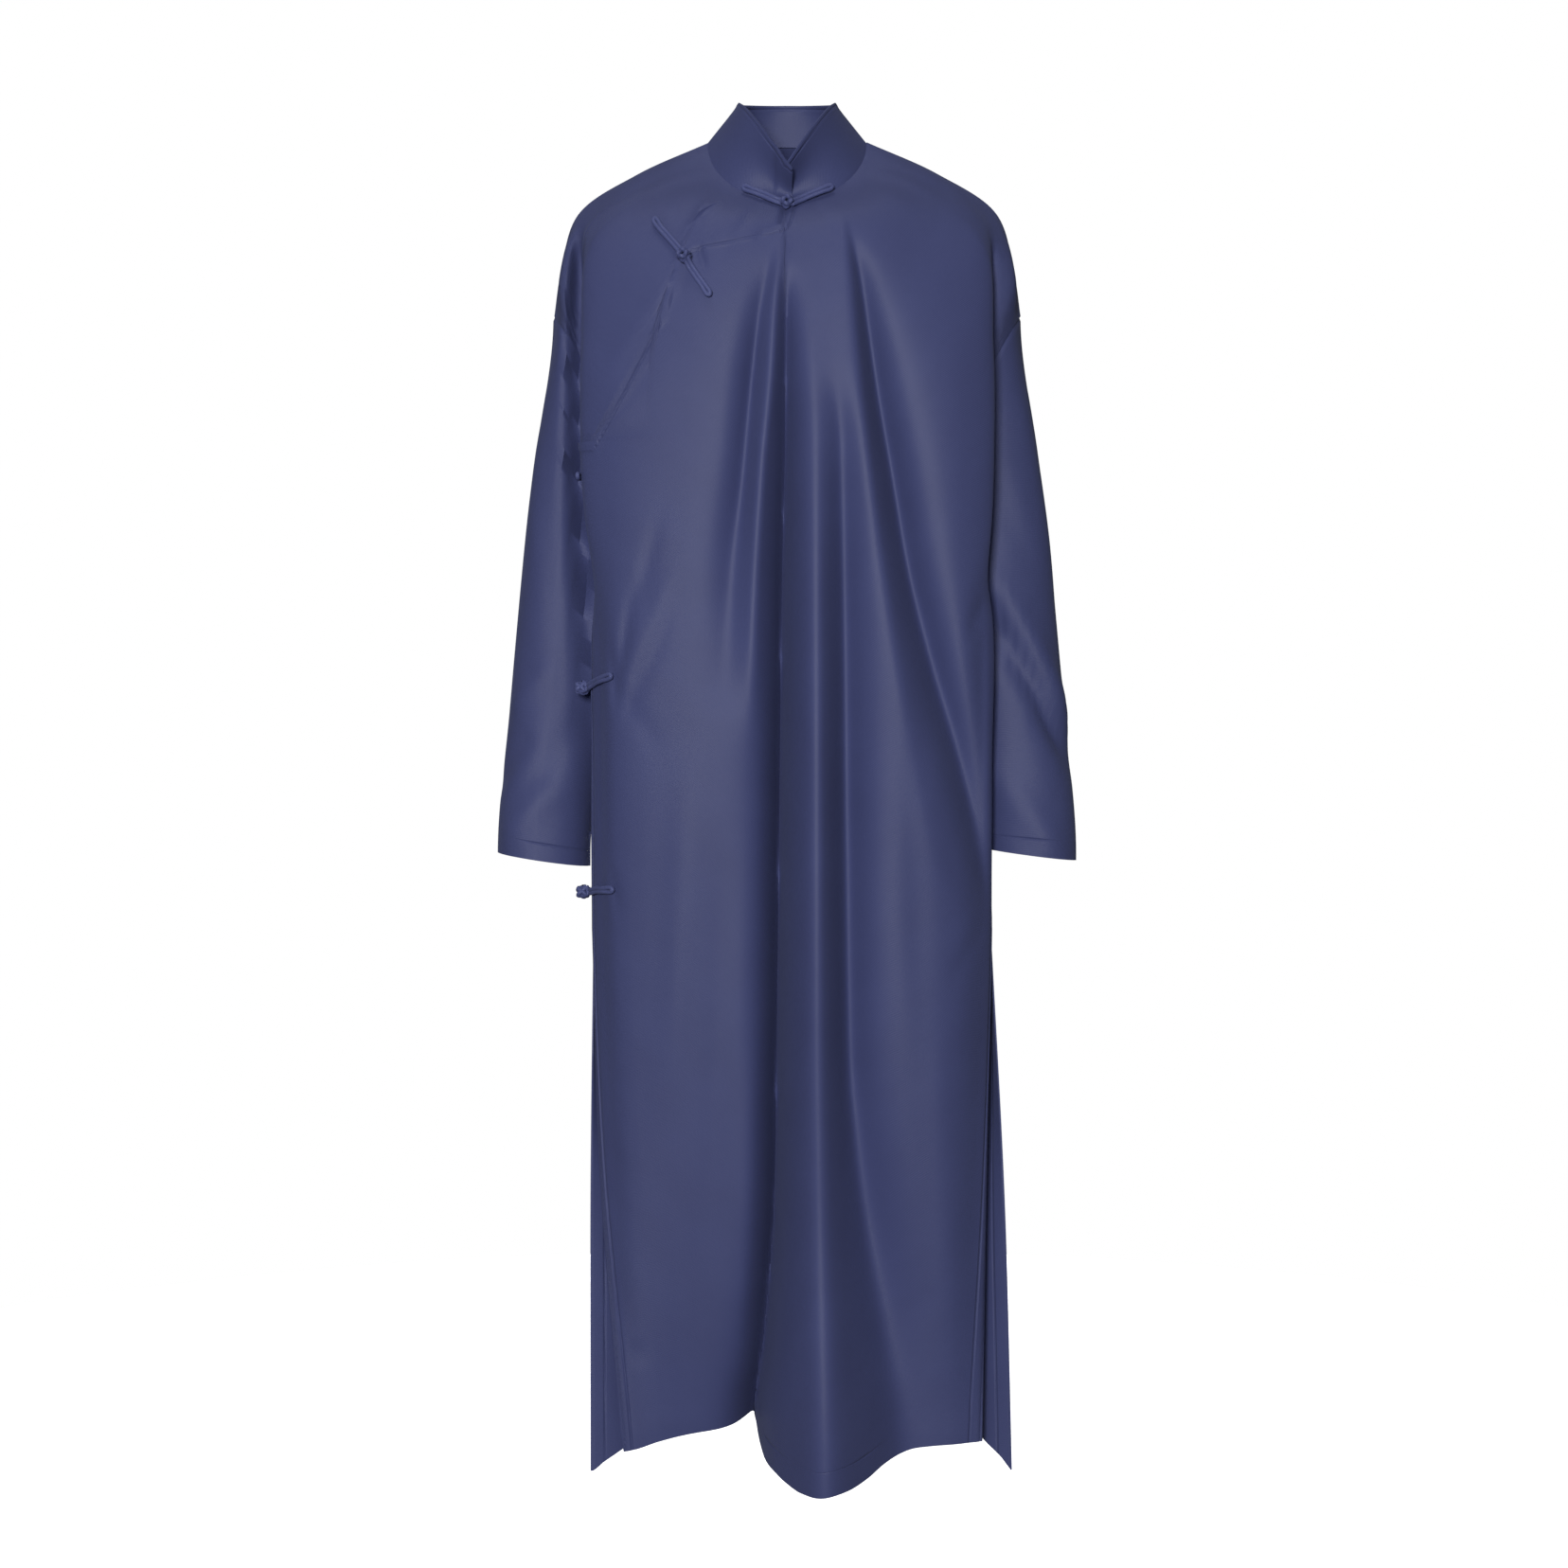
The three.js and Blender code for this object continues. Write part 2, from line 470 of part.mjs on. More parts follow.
const overlapCells = (i, j) => {
  if (i < upperRows) return false;
  return inBody(front, frontColumns, j) || (frontColumns[j] > 0 && i < lastYokeRow);
};
add("front_panel", wall(frontSheet, overlapCells, { raise: overlapRaise, move: frontHold }));

const underlapReach = -3.5;
const underlapSkirtRows = 11;
const underlapCells = (i, j) => {
  const u = frontColumns[j];
  if (i < upperRows) return u < -0.01;
  if (!inBody(front, frontColumns, j) || u > 0.2) return false;
  if (i < lastYokeRow) return i < upperRows + 2 || u < underlapReach;
  return i < lastYokeRow + underlapSkirtRows && u < underlapReach;
};
const underlapRaise = overlapRaise - clothThickness - seamGap;
add("underlap", wall(frontSheet, underlapCells, { raise: underlapRaise, move: frontHold }));

const backCells = (i, j) => i < backYokeRows || inBody(back, backColumns, j);
add("back_panel", wall(backSheet, backCells, { move: backHold }));

// A sleeve hangs from the seam points of the front and back caps, which it shares.
const sleeveRows = 18;
const frontRing = table(["u", "degrees"], [[5, 180], [6, 96], [7, 42], [8, 0]]);
const backRing = table(["u", "degrees"], [[7, 0], [6, -42], [5, -96], [4, -180]]);
function sleeveSheet(side) {
  const [outer, inner] = side > 0 ? [cuffZ.leftOuter, cuffZ.leftInner] : [cuffZ.rightOuter, cuffZ.rightInner];
  const cuffAt = (degrees) => (outer + inner) / 2 + ((outer - inner) / 2) * Math.cos(radians(degrees));
  const folded = (degrees, z) => {
    const p = sleevePoint(side, degrees, z);
    if (degrees > 0 && degrees < 180) p.y += grooveAt(side, p.x, p.z) * smoothstep(degrees, 10, 40);
    return p;
  };
  const lines = [
    ...steps(5, 8, 9).map((u) => ({ degrees: read(frontRing, "degrees", u), seam: front.point(side * u, underarm) })),
    ...steps(7, 4, 9).slice(1).map((u) => ({
      degrees: read(backRing, "degrees", u), seam: back.point(side * u, underarm),
    })),
  ];
  const rows = steps(0, 1, sleeveRows).map((t) => lines.map(({ degrees, seam }) => {
    const start = folded(degrees, seam.z);
    const p = folded(degrees, lerp(seam.z, cuffAt(degrees), t));
    p.addScaledVector(armNormal(p), creaseAt(side, degrees, p.z) * smoothstep(t, 0, 0.06));
    return p.add(seam.clone().sub(start).multiplyScalar(1 - smoothstep(t, 0, 0.16)));
  }));
  return sheet(rows, { outward: -side, normalRule: (i, j, p) => (i === 0 ? armNormal(p) : null) });
}
const sleeveHold = (side) => (i, j) => {
  const inner = j === 0 || j === 18;
  if (i > 0) return inner && i === 1 ? vector(side * 1.2, 0, 0) : null;
  return vector(inner ? side * 2.4 : 0, 0, inner ? -1.5 : -seamGap / 2);
};
add("sleeve_left", wall(sleeveSheet(1), () => true, { move: sleeveHold(1) }));
add("sleeve_right", wall(sleeveSheet(-1), () => true, { move: sleeveHold(-1) }));

// The collar stands on the neck opening and leans in to its rim; its left end laps over its right end.
const collarLap = 5;
const collarRows = 3;
const collarSheet = sheet(steps(0, 1, collarRows).map((t) => steps(-1.5, 360 + collarLap, 44).map((angle) => {
  const p = neckPoint(angle).lerp(rimPoint(angle), t);
  const lap = smoothstep(angle, 345, 352);
  const out = vector(Math.sin(radians(angle)), -Math.cos(radians(angle)), 0);
  const fromFront = ((angle + 180) % 360) - 180;
  const dent = collarDent.depth * Math.exp(-((fromFront / collarDent.degrees) ** 2)) * 4 * t * (1 - t);
  return p.addScaledVector(out, lap * (collarThickness + 1) - dent).add(vector(0, 0, (1 - t) * 1.6));
})), { outward: -1 });
add("collar", wall(collarSheet, () => true, { thickness: collarThickness }));


function solidOf(geometry) {
  const bare = new THREE.BufferGeometry().setAttribute("position", geometry.getAttribute("position").clone());
  if (geometry.index) bare.setIndex(geometry.index.clone());
  const merged = mergeVertices(bare, 1e-3);
  return new wasm.Manifold(new wasm.Mesh({
    numProp: 3,
    vertProperties: merged.attributes.position.array,
    triVerts: new Uint32Array(merged.index.array),
  }));
}

function geometryOf(solid) {
  const made = solid.getMesh();
  return new THREE.BufferGeometry()
    .setAttribute("position", new THREE.BufferAttribute(made.vertProperties.slice(), 3))
    .setIndex([...made.triVerts]);
}

// A place on a surface by its guide line and height, raised along the outward normal.
function placeAt(surface, u, z, raise) {
  let [low, high] = [0, hem];
  for (let i = 0; i < 24; i += 1) {
    const v = (low + high) / 2;
    if (surface.point(u, v).z > z) low = v;
    else high = v;
  }
  const d = 0.03;
  const p = surface.point(u, low);
  const across = surface.point(u + d, low).sub(surface.point(u - d, low));
  const down = surface.point(u, low + d).sub(surface.point(u, low - d));
  const normal = down.cross(across).normalize();
  if (surface === back) normal.negate();
  return { p: p.addScaledVector(normal, raise), normal };
}

// A round cord along points, closed over at its ends.
function cord(points) {
  const line = new THREE.CatmullRomCurve3(points, false, "centripetal");
  const count = Math.round(line.getLength() / cordStep);
  const centres = line.getSpacedPoints(count);
  let side = null;
  const rings = centres.map((p, i) => {
    const ahead = centres[Math.min(count, i + 1)].clone().sub(centres[Math.max(0, i - 1)]).normalize();
    side = side ?? ahead.clone().cross(vector(0.3, 0.2, 1)).normalize();
    side = side.addScaledVector(ahead, -side.dot(ahead)).normalize();
    const up = ahead.clone().cross(side);
    return Array.from({ length: cordSides }, (_, k) => {
      const turn = (2 * Math.PI * k) / cordSides;
      return p.clone().addScaledVector(side, cordRadius * Math.cos(turn))
        .addScaledVector(up, cordRadius * Math.sin(turn));
    });
  });
  const places = [...rings.flat(), centres[0], centres[count]];
  const faces = [];
  for (let k = 0; k < cordSides; k += 1) {
    const next = (k + 1) % cordSides;
    for (let i = 0; i < count; i += 1) {
      const [a, b] = [i * cordSides, (i + 1) * cordSides];
      faces.push([a + k, a + next, b + next], [a + k, b + next, b + k]);
    }
    faces.push([places.length - 2, next, k]);
    faces.push([places.length - 1, count * cordSides + k, count * cordSides + next]);
  }
  return solidOf(new THREE.BufferGeometry()
    .setAttribute("position", new THREE.Float32BufferAttribute(places.flatMap((p) => p.toArray()), 3))
    .setIndex(faces.flat()));
}

// Two strands side by side along places on the cloth from the knot to the tail, joined by a turn at the tail.
// The heights lift the strands off the cloth near the knot.
function strands(places, lifts) {
  const side = (k) => {
    const [a, b] = [places[Math.max(0, k - 1)].p, places[Math.min(places.length - 1, k + 1)].p];
    return b.clone().sub(a).cross(places[k].normal).normalize();
  };
  const strand = (sign) => places.map(({ p, normal }, k) => p.clone().addScaledVector(normal, lifts[k] ?? 0)
    .addScaledVector(side(k), sign * strandSpacing / 2));
  const tail = places[places.length - 1].p.clone().sub(places[places.length - 2].p).setLength(strandSpacing / 2);
  return [...strand(1), places[places.length - 1].p.clone().add(tail), ...strand(-1).reverse()];
}

// A knotted fastener lies on the cloth: a looped cord on one side, and on the other a cord that ends in a ball
// and passes over the loop. Each half is a list of places from the knot outwards.
const strandSpacing = 2 * cordRadius + 0.6;
function addFrog(name, loopPlaces, ballPlaces) {
  const knot = loopPlaces[0];
  const away = loopPlaces[1].p.clone().sub(knot.p).setLength(1);
  const loopStart = { p: knot.p.clone().addScaledVector(away, -2.5), normal: knot.normal };
  const loopLine = strands([loopStart, ...loopPlaces.slice(1)], []);
  add(name + "_loop", geometryOf(cord(loopLine)), cordCloth);
  const ballCentre = knot.p.clone().addScaledVector(knot.normal, cordRadius + knotRadius + 0.6);
  const over = knot.p.clone().addScaledVector(away, -5.5);
  const lifted = { p: over, normal: knot.normal };
  const ballLine = strands([lifted, ...ballPlaces.slice(1)], [cordRadius * 2 + 1.2, 1.5]);
  const points = [ballCentre, ...ballLine, ballCentre.clone().addScaledVector(away, 0.5)];
  const ball = wasm.Manifold.sphere(knotRadius, 12).translate(ballCentre.toArray());
  add(name + "_ball", geometryOf(cord(points).add(ball)), cordCloth);
}
const onOverlap = overlapRaise + cordRadius + 0.7;
const onUnderlap = onOverlap - clothThickness - seamGap;
const onBack = cordRadius + 1;
const cordLine = (surface, points, raise = onOverlap) => points.map(([u, z]) => placeAt(surface, u, z, raise));
const neckFrogLine = (angles) => angles.map((angle) => {
  const normal = vector(Math.sin(radians(angle)), -Math.cos(radians(angle)), 0.45).normalize();
  const overLap = angle < 6 ? smoothstep(angle, -15, -8) : 1 - smoothstep(angle, 6, 12);
  const raise = cordRadius + 2.2 + overLap * 3.6 + smoothstep(angle, 6, 24) * 3;
  return { p: neckPoint(angle).addScaledVector(normal, raise), normal };
});
addFrog("neck_frog", neckFrogLine([0, -9, -18, -27, -36]), neckFrogLine([0, 9, 18, 27, 36]));
addFrog("chest_frog",
  [
    ...cordLine(front, [[-1.53, -118]]),
    ...cordLine(front, [[-1.68, -109], [-1.85, -99.5], [-2.07, -90], [-2.3, -81]], onUnderlap),
  ],
  cordLine(front, [[-1.53, -118], [-1.38, -128], [-1.23, -139], [-1.08, -149.5], [-0.95, -160]]));
addFrog("armpit_frog",
  cordLine(front, [[-3.8, -332], [-3.6, -332], [-3.4, -332], [-3.15, -332], [-2.9, -332]], onOverlap + 0.5),
  cordLine(front, [[-3.8, -332], [-4, -332], [-4.2, -332], [-4.4, -332], [-4.6, -332]]));
addFrog("waist_frog",
  cordLine(front, [[-4.8, -540], [-4, -538], [-3.3, -535], [-2.6, -532], [-2.1, -529]]),
  [
    ...cordLine(front, [[-4.8, -540]]),
    ...cordLine(back, [[-3.85, -540], [-3.7, -540], [-3.5, -540], [-3.3, -540]], onBack),
  ]);
addFrog("hip_frog",
  cordLine(front, [[-4.8, -743], [-4, -742], [-3.3, -740], [-2.6, -739], [-2.1, -738]]),
  [
    ...cordLine(front, [[-4.8, -743]]),
    ...cordLine(back, [[-3.85, -743], [-3.7, -743], [-3.5, -743], [-3.3, -743]], onBack),
  ]);

export default root;
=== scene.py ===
import math

import bmesh
import bpy
import numpy as np
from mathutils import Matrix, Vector


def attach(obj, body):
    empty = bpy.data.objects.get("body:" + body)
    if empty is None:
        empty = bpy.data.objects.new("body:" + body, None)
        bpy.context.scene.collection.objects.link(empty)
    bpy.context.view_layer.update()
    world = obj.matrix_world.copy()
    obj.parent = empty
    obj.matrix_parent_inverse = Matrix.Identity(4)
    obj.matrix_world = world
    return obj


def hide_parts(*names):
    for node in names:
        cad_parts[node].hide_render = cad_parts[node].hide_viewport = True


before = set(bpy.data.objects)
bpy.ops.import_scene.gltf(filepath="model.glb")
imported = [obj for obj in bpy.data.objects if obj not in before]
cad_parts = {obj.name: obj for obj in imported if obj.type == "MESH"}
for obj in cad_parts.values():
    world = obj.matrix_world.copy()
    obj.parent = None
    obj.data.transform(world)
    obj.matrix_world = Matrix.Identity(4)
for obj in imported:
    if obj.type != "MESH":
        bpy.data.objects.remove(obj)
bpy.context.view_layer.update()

millimetre = 0.001

# The garment's form in millimetres, on its solids' lines: z up, the front faces -Y, x is the wearer's left.
form = {
    "clothThickness": 0.9,
    "seamGap": 0.12,
    "overlapRaise": 0.9,  # the big front panel lies this much proud of the underlap
    "neckHalfWidth": 80,
    "neckFront": (-62, -62),  # y and z of the neck opening
    "neckSide": (8, 10),
    "neckBack": (58, 18),
    "rimHalfWidth": 49,
    "rimFront": (-78, -28),
    "rimSide": (-2, 46),
    "rimBack": (52, 57),
    "collarDent": (6, 32),  # how far the collar sinks in above the neck fastener, and over how many degrees
    "sleeveSeamOuterZ": -163,
    "sleeveSeamInnerZ": -300,
    "cuffZ": {1: (-714, -702), -1: (-706, -720)},  # outer and inner end of each cuff
    "seamTuck": 1.6,  # how far the cloth reaches in under its neighbour at the sleeve's seam
}
underarm = 4  # the station where body and arm part
onLine = 0.01  # two places on the guide lines that are nearer than this are the same


def table(columns, rows):
    return {"columns": columns, "rows": np.array(sorted(rows), float)}


def read(source, name, at):
    # Smooth reading of one named column by the first column.
    keys = source["rows"][:, 0]
    values = source["rows"][:, source["columns"].index(name)]
    slopes = np.diff(values) / np.diff(keys)
    tangents = np.zeros(len(keys))
    for k in range(1, len(keys) - 1):
        if slopes[k - 1] * slopes[k] > 0:
            tangents[k] = 2 * slopes[k - 1] * slopes[k] / (slopes[k - 1] + slopes[k])
    at = np.clip(at, keys[0], keys[-1])
    i = np.clip(np.searchsorted(keys, at, side="right") - 1, 0, len(keys) - 2)
    width = keys[i + 1] - keys[i]
    t = (at - keys[i]) / width
    start = values[i] * (2 * t**3 - 3 * t**2 + 1) + tangents[i] * width * (t**3 - 2 * t**2 + t)
    return start + values[i + 1] * (3 * t**2 - 2 * t**3) + tangents[i + 1] * width * (t**3 - t**2)


def along(points, at):
    # A smooth line through points, read at fractional point numbers.
    points = np.asarray(points, float)
    at = np.atleast_1d(np.asarray(at, float))
    if points.ndim == 2:
        points = np.repeat(points[:, None], len(at), axis=1)
    last = len(points) - 1
    padded = np.concatenate([2 * points[:1] - points[1:2], points, 2 * points[-1:] - points[-2:-1]])
    at = np.clip(at, 0, last)
    i = np.minimum(at.astype(int), last - 1)
    t = (at - i)[:, None]
    each = np.arange(len(at))
    p0, p1, p2, p3 = (padded[i + k, each] for k in range(4))
    d0, d1, d2 = (np.sqrt(np.linalg.norm(b - a, axis=1))[:, None] for a, b in ((p0, p1), (p1, p2), (p2, p3)))
    d1 = np.where(d1 < 1e-4, 1, d1)
    d0 = np.where(d0 < 1e-4, d1, d0)
    d2 = np.where(d2 < 1e-4, d1, d2)
    m1 = ((p1 - p0) / d0 - (p2 - p0) / (d0 + d1) + (p2 - p1) / d1) * d1
    m2 = ((p2 - p1) / d1 - (p3 - p1) / (d1 + d2) + (p3 - p2) / d2) * d1
    c2 = -3 * p1 + 3 * p2 - 2 * m1 - m2
    c3 = 2 * p1 - 2 * p2 + m1 + m2
    return p1 + m1 * t + c2 * t**2 + c3 * t**3


def smoothstep(x, low, high):
    t = np.clip((x - low) / (high - low), 0, 1)
    return t * t * (3 - 2 * t)


def unit(vectors):
    return vectors / np.maximum(np.linalg.norm(vectors, axis=-1, keepdims=True), 1e-9)


# Guide lines run from the neck opening down to the underarm: the angle round the neck where the line starts,
# then [x, y, z] at the shoulder, the shoulder tip, the bust and the underarm, on the wearer's left.
frontYoke = {
    "middle": {"neck": 0, "at": [[0, -94, -95], [0, -113, -155], [0, -124, -225], [0, -130, -300]]},
    "chest": {"neck": 25, "at": [[60, -90, -82], [82, -109, -146], [94, -119, -220], [98, -124, -300]]},
    "breast": {"neck": 44, "at": [[104, -68, -64], [148, -86, -128], [168, -97, -214], [172, -101, -300]]},
    "lobe": {"neck": 57, "at": [[126, -48, -52], [190, -58, -104], [202, -70, -208], [203, -72, -300]]},
    "tuck": {"neck": 66, "at": [[134, -38, -45], [197, -44, -96], [194, -46, -202], [172, -46, -300]]},
    "crease": {"neck": 72, "at": [[141, -27, -39], [201, -30, -88], [180, -16, -196], [140, 14, -300]]},
}
backYoke = {
    "middle": {"neck": 180, "at": [[0, 92, -20], [0, 108, -90], [0, 112, -190], [0, 108, -300]]},
    "chest": {"neck": 152, "at": [[62, 88, -24], [88, 106, -92], [98, 108, -192], [100, 103, -300]]},
    "breast": {"neck": 128, "at": [[112, 64, -28], [156, 84, -92], [164, 88, -196], [160, 84, -300]]},
    "lobe": {"neck": 114, "at": [[134, 42, -28], [192, 54, -84], [186, 70, -196], [160, 58, -300]]},
    "crease": {"neck": 104, "at": [[144, 28, -26], [202, 36, -76], [190, 46, -192], [140, 14, -300]]},
}

# These lines go on over the upper arm and end on the sleeve's seam, at an angle round the arm.
frontCap = {
    "armFront": {"neck": 78, "ring": 96, "at": [[147, -16, -32], [205, -18, -80], [209, -30, -160]]},
    "armSide": {"neck": 84, "ring": 42, "at": [[151, -6, -27], [209, -4, -70], [227, -18, -134]]},
}
backCap = {
    "armBack": {"neck": 99, "ring": -96, "at": [[150, 19, -24], [207, 26, -70], [213, 58, -160]]},
    "armSide": {"neck": 95, "ring": -42, "at": [[152, 12, -23], [210, 18, -66], [228, 44, -132]]},
}

# The line over the shoulder and down the outside of the arm, where front and back meet.
shoulderLine = {"neck": 90, "ring": 0, "at": [[152, 6, -22.5], [211, 8, -62], [228.5, 12, -116]]}

# The sleeve below its seam, by height: how far out its outer edge is, and half its width and depth.
sleeve = table(["z", "outer", "halfWidth", "halfDepth", "centreY"], [
    [-163, 236, 46, 44, 16], [-300, 254, 50, 45, 22], [-370, 263.5, 50, 46, 22], [-460, 272.5, 50, 47, 21],
    [-560, 281, 49, 46, 15], [-709, 292.5, 46, 44, 3],
])

# The skirts below the underarm, by height: x and y of each guide line, first on the wearer's right.
skirtColumns = [
    "z", "rightSideX", "rightSideY", "rightTuckX", "rightTuckY", "rightLobeX", "rightLobeY", "rightHipX",
    "rightHipY", "rightMidX", "rightMidY", "middleY", "leftMidX", "leftMidY", "leftHipX", "leftHipY",
    "leftLobeX", "leftLobeY", "leftTuckX", "leftTuckY", "leftSideX", "leftSideY",
]
frontSkirt = table(skirtColumns, [
    [-370, -158, -12, -178, -52, -198, -74, -170, -102, -98, -126, -132, 98, -126, 170, -102, 201, -74, 180,
     -52, 158, -12],
    [-460, -188, -44, -190, -62, -186, -76, -168, -102, -98, -127, -133, 98, -127, 168, -104, 194, -78, 201,
     -64, 197, -48],
    [-620, -193, -44, -190, -58, -183, -72, -168, -98, -98, -124, -131, 98, -126, 168, -102, 194, -76, 202,
     -62, 203, -46],
    [-780, -193, -40, -190, -52, -182, -66, -166, -88, -98, -112, -124, 98, -120, 168, -97, 194, -70, 202,
     -56, 203, -42],
    [-1040, -185, -40, -181, -46, -173, -54, -154, -68, -96, -80, -96, 98, -98, 164, -80, 188, -60, 197,
     -50, 199, -40],
    [-1290, -164, -44, -160, -44, -153, -45, -136, -46, -86, -42, -60, 98, -76, 158, -62, 184, -50, 192,
     -46, 195, -40],
])
backSkirt = table([name for name in skirtColumns if "Tuck" not in name], [
    [-370, -158, -12, -150, 36, -158, 74, -98, 101, 106, 98, 101, 158, 74, 150, 36, 158, -12],
    [-460, -188, -44, -152, 14, -160, 76, -98, 101, 105, 98, 101, 160, 76, 154, 14, 197, -48],
    [-620, -193, -44, -172, 10, -168, 80, -98, 104, 110, 98, 104, 168, 80, 174, 10, 203, -46],
    [-780, -193, -40, -186, 12, -168, 84, -98, 112, 118, 98, 112, 172, 84, 196, 12, 203, -42],
    [-1040, -197, -32, -176, -21, -158, 78, -96, 116, 124, 96, 116, 178, 78, 204, -17, 218, -30],
    [-1290, -198, -26, -158, -19, -147, 76, -92, 120, 130, 94, 120, 186, 74, 202, -16, 227, -24],
])
hem = underarm + len(frontSkirt["rows"])
slit = underarm + 4
frontHem = table(["x", "z"], [
    [-166, -1306], [-154, -1304], [-129, -1295.5], [-98, -1289], [-57, -1284], [-39, -1281.5], [-32, -1286],
    [-27, -1303], [-20, -1315], [-11, -1318.5], [0, -1323], [14, -1326.5], [24, -1326.5], [48, -1323.5],
    [62, -1322], [79, -1317], [93, -1310], [110, -1304], [130, -1299], [158, -1297], [196, -1296.5],
])
backHem = table(["x", "z"], [
    [-198, -1331], [-185, -1322], [-172, -1314], [-160, -1307], [-145, -1298], [-100, -1292], [0, -1288],
    [100, -1292], [180, -1294], [196, -1300], [206, -1308], [217, -1318], [224, -1327], [228, -1331],
])

# The largest folds by height: z, where each runs, how far it moves the cloth back (minus is forward), how
# wide it is to the left and right, and how round it is on top.
frontFolds = {
    "mainValley": [
        [-120, -1, 0, 8, 8, 3], [-190, -1, 22, 8, 8, 3], [-300, -2, 42, 9, 10, 3],
        [-440, -5, 54, 9.5, 11, 3], [-620, -7, 62, 9.5, 11, 3], [-800, -9, 66, 10, 11, 3],
        [-1040, -12, 68, 11, 11, 3], [-1200, -23, 77, 14, 11, 4], [-1300, -34, 90, 17, 10, 4],
    ],
    "mainSlope": [
        [-260, -2, 0, 40, 8, 6], [-440, -5, 6, 42, 8, 6], [-620, -7, 10, 44, 8, 6],
        [-800, -9, 11, 46, 8, 6], [-1040, -12, 11, 46, 8, 6], [-1200, -23, 8, 40, 8, 6],
        [-1300, -34, 3, 30, 8, 6],
    ],
    "mainRidge": [
        [-120, 10, 0, 16, 20, 12], [-300, 26, -10, 13, 12, 12], [-560, 29, -26, 13, 12, 15],
        [-800, 30, -32, 14, 13, 18], [-1040, 32, -40, 18, 16, 22], [-1300, 36, -74, 28, 34, 28],
    ],
    "neckRidge": [
        [-92, -6, 0, 6, 6, 3], [-160, -11, -10, 8, 7, 4], [-243, -16, -14, 9, 8, 4],
        [-333, -25, -15, 9, 9, 4], [-480, -32, -12, 10, 11, 5], [-620, -34, 0, 12, 12, 8],
    ],
    "neckValley": [
        [-102, -14, 0, 8, 8, 5], [-180, -27, 13, 8, 8, 5], [-243, -34, 21, 8, 8, 6],
        [-333, -42, 20, 9, 9, 7], [-425, -52, 14, 12, 12, 9], [-516, -58, 6, 14, 14, 10],
        [-600, -62, 0, 20, 18, 10],
    ],
    "sideValley": [
        [-220, 46, 0, 10, 10, 8], [-300, 52, 12, 9, 11, 8], [-480, 55, 32, 9, 13, 9],
        [-700, 57, 42, 9, 15, 10], [-900, 60, 42, 10, 17, 11], [-985, 67, 38, 12, 20, 13],
        [-1080, 80, 36, 16, 26, 15], [-1178, 97, 34, 22, 32, 18], [-1300, 113, 30, 28, 38, 20],
    ],
    "longRidge": [
        [-60, 52, 0, 10, 10, 4], [-140, 62, -9, 12, 8, 5], [-300, 76, -12, 15, 9, 6],
        [-480, 100, -10, 20, 13, 9], [-640, 126, -7, 28, 16, 9], [-760, 146, 0, 28, 18, 9],
    ],
    "longValley": [
        [-76, 60, 0, 7, 8, 4], [-150, 72, 19, 7, 11, 5], [-243, 86, 35, 8, 14, 7],
        [-333, 102, 41, 9, 15, 8], [-425, 118, 43, 10, 16, 9], [-516, 141, 41, 11, 15, 10],
        [-608, 168, 33, 11, 13, 9], [-700, 188, 17, 10, 9, 8], [-780, 199, 0, 8, 8, 6],
    ],
}
backFolds = {
    "centreRidge": [
        [-60, 4, 0, 12, 12, 6], [-300, 8, 9, 22, 20, 10], [-700, 12, 16, 26, 26, 12],
        [-1300, 18, 40, 44, 40, 16],
    ],
    "rightValley": [
        [-120, -40, 0, 14, 14, 6], [-300, -48, -12, 20, 18, 8], [-700, -56, -22, 24, 22, 10],
        [-1300, -66, -46, 34, 28, 12],
    ],
    "leftValley": [
        [-120, 52, 0, 14, 14, 6], [-300, 62, -10, 18, 20, 8], [-700, 72, -20, 22, 26, 10],
        [-1300, 86, -40, 30, 36, 12],
    ],
    "rightRidge": [
        [-200, -94, 0, 18, 16, 8], [-700, -108, 10, 26, 22, 10], [-1300, -122, 26, 34, 30, 14],
    ],
    "leftRidge": [
        [-200, 104, 0, 18, 16, 8], [-700, 126, 9, 24, 24, 10], [-1300, 146, 22, 30, 34, 14],
    ],
}
foldColumns = ["z", "x", "depth", "left", "right", "round"]
for folds in (frontFolds, backFolds):
    for name, rows in folds.items():
        folds[name] = table(foldColumns, rows)


def relief(folds, x, z):
    # How far the folds move the cloth along Y.
    total = np.zeros(len(x))
    for fold in folds.values():
        away = x - read(fold, "x", z)
        width = np.where(away < 0, read(fold, "left", z), read(fold, "right", z))
        roundness = read(fold, "round", z)
        total += read(fold, "depth", z) * np.exp((roundness - np.hypot(away, roundness)) / width)
    return total


# The deep groove between the body and the front of the right arm, by height.
armGroove = table(["z", "x", "depth", "width"], [
    [-72, 205, 0, 8], [-110, 208, 24, 8], [-163, 209, 34, 9], [-300, 209, 36, 10], [-400, 206, 34, 11],
    [-470, 202, 24, 11], [-560, 198, 13, 10], [-700, 196, 4, 10],
])


def grooveAt(x, z):
    away = (np.abs(x) - read(armGroove, "x", z)) / read(armGroove, "width", z)
    return np.where(x < 0, read(armGroove, "depth", z) * np.exp(-(np.abs(away) ** 2.6)), 0)


def pullRelief(pulls, x, z):
    # Short creases drawn as straight lines that fade at both ends.
    total = np.zeros(len(x))
    for x0, z0, x1, z1, depth, width in pulls:
        line = np.array([x1 - x0, z1 - z0])
        length = np.hypot(*line)
        t = ((x - x0) * line[0] + (z - z0) * line[1]) / length**2
        off = ((x - x0) * line[1] - (z - z0) * line[0]) / length
        ends = smoothstep(t, -0.15, 0.2) * (1 - smoothstep(t, 0.6, 1.1))
        total += depth * ends * np.exp(-((off / width) ** 2))
    return total


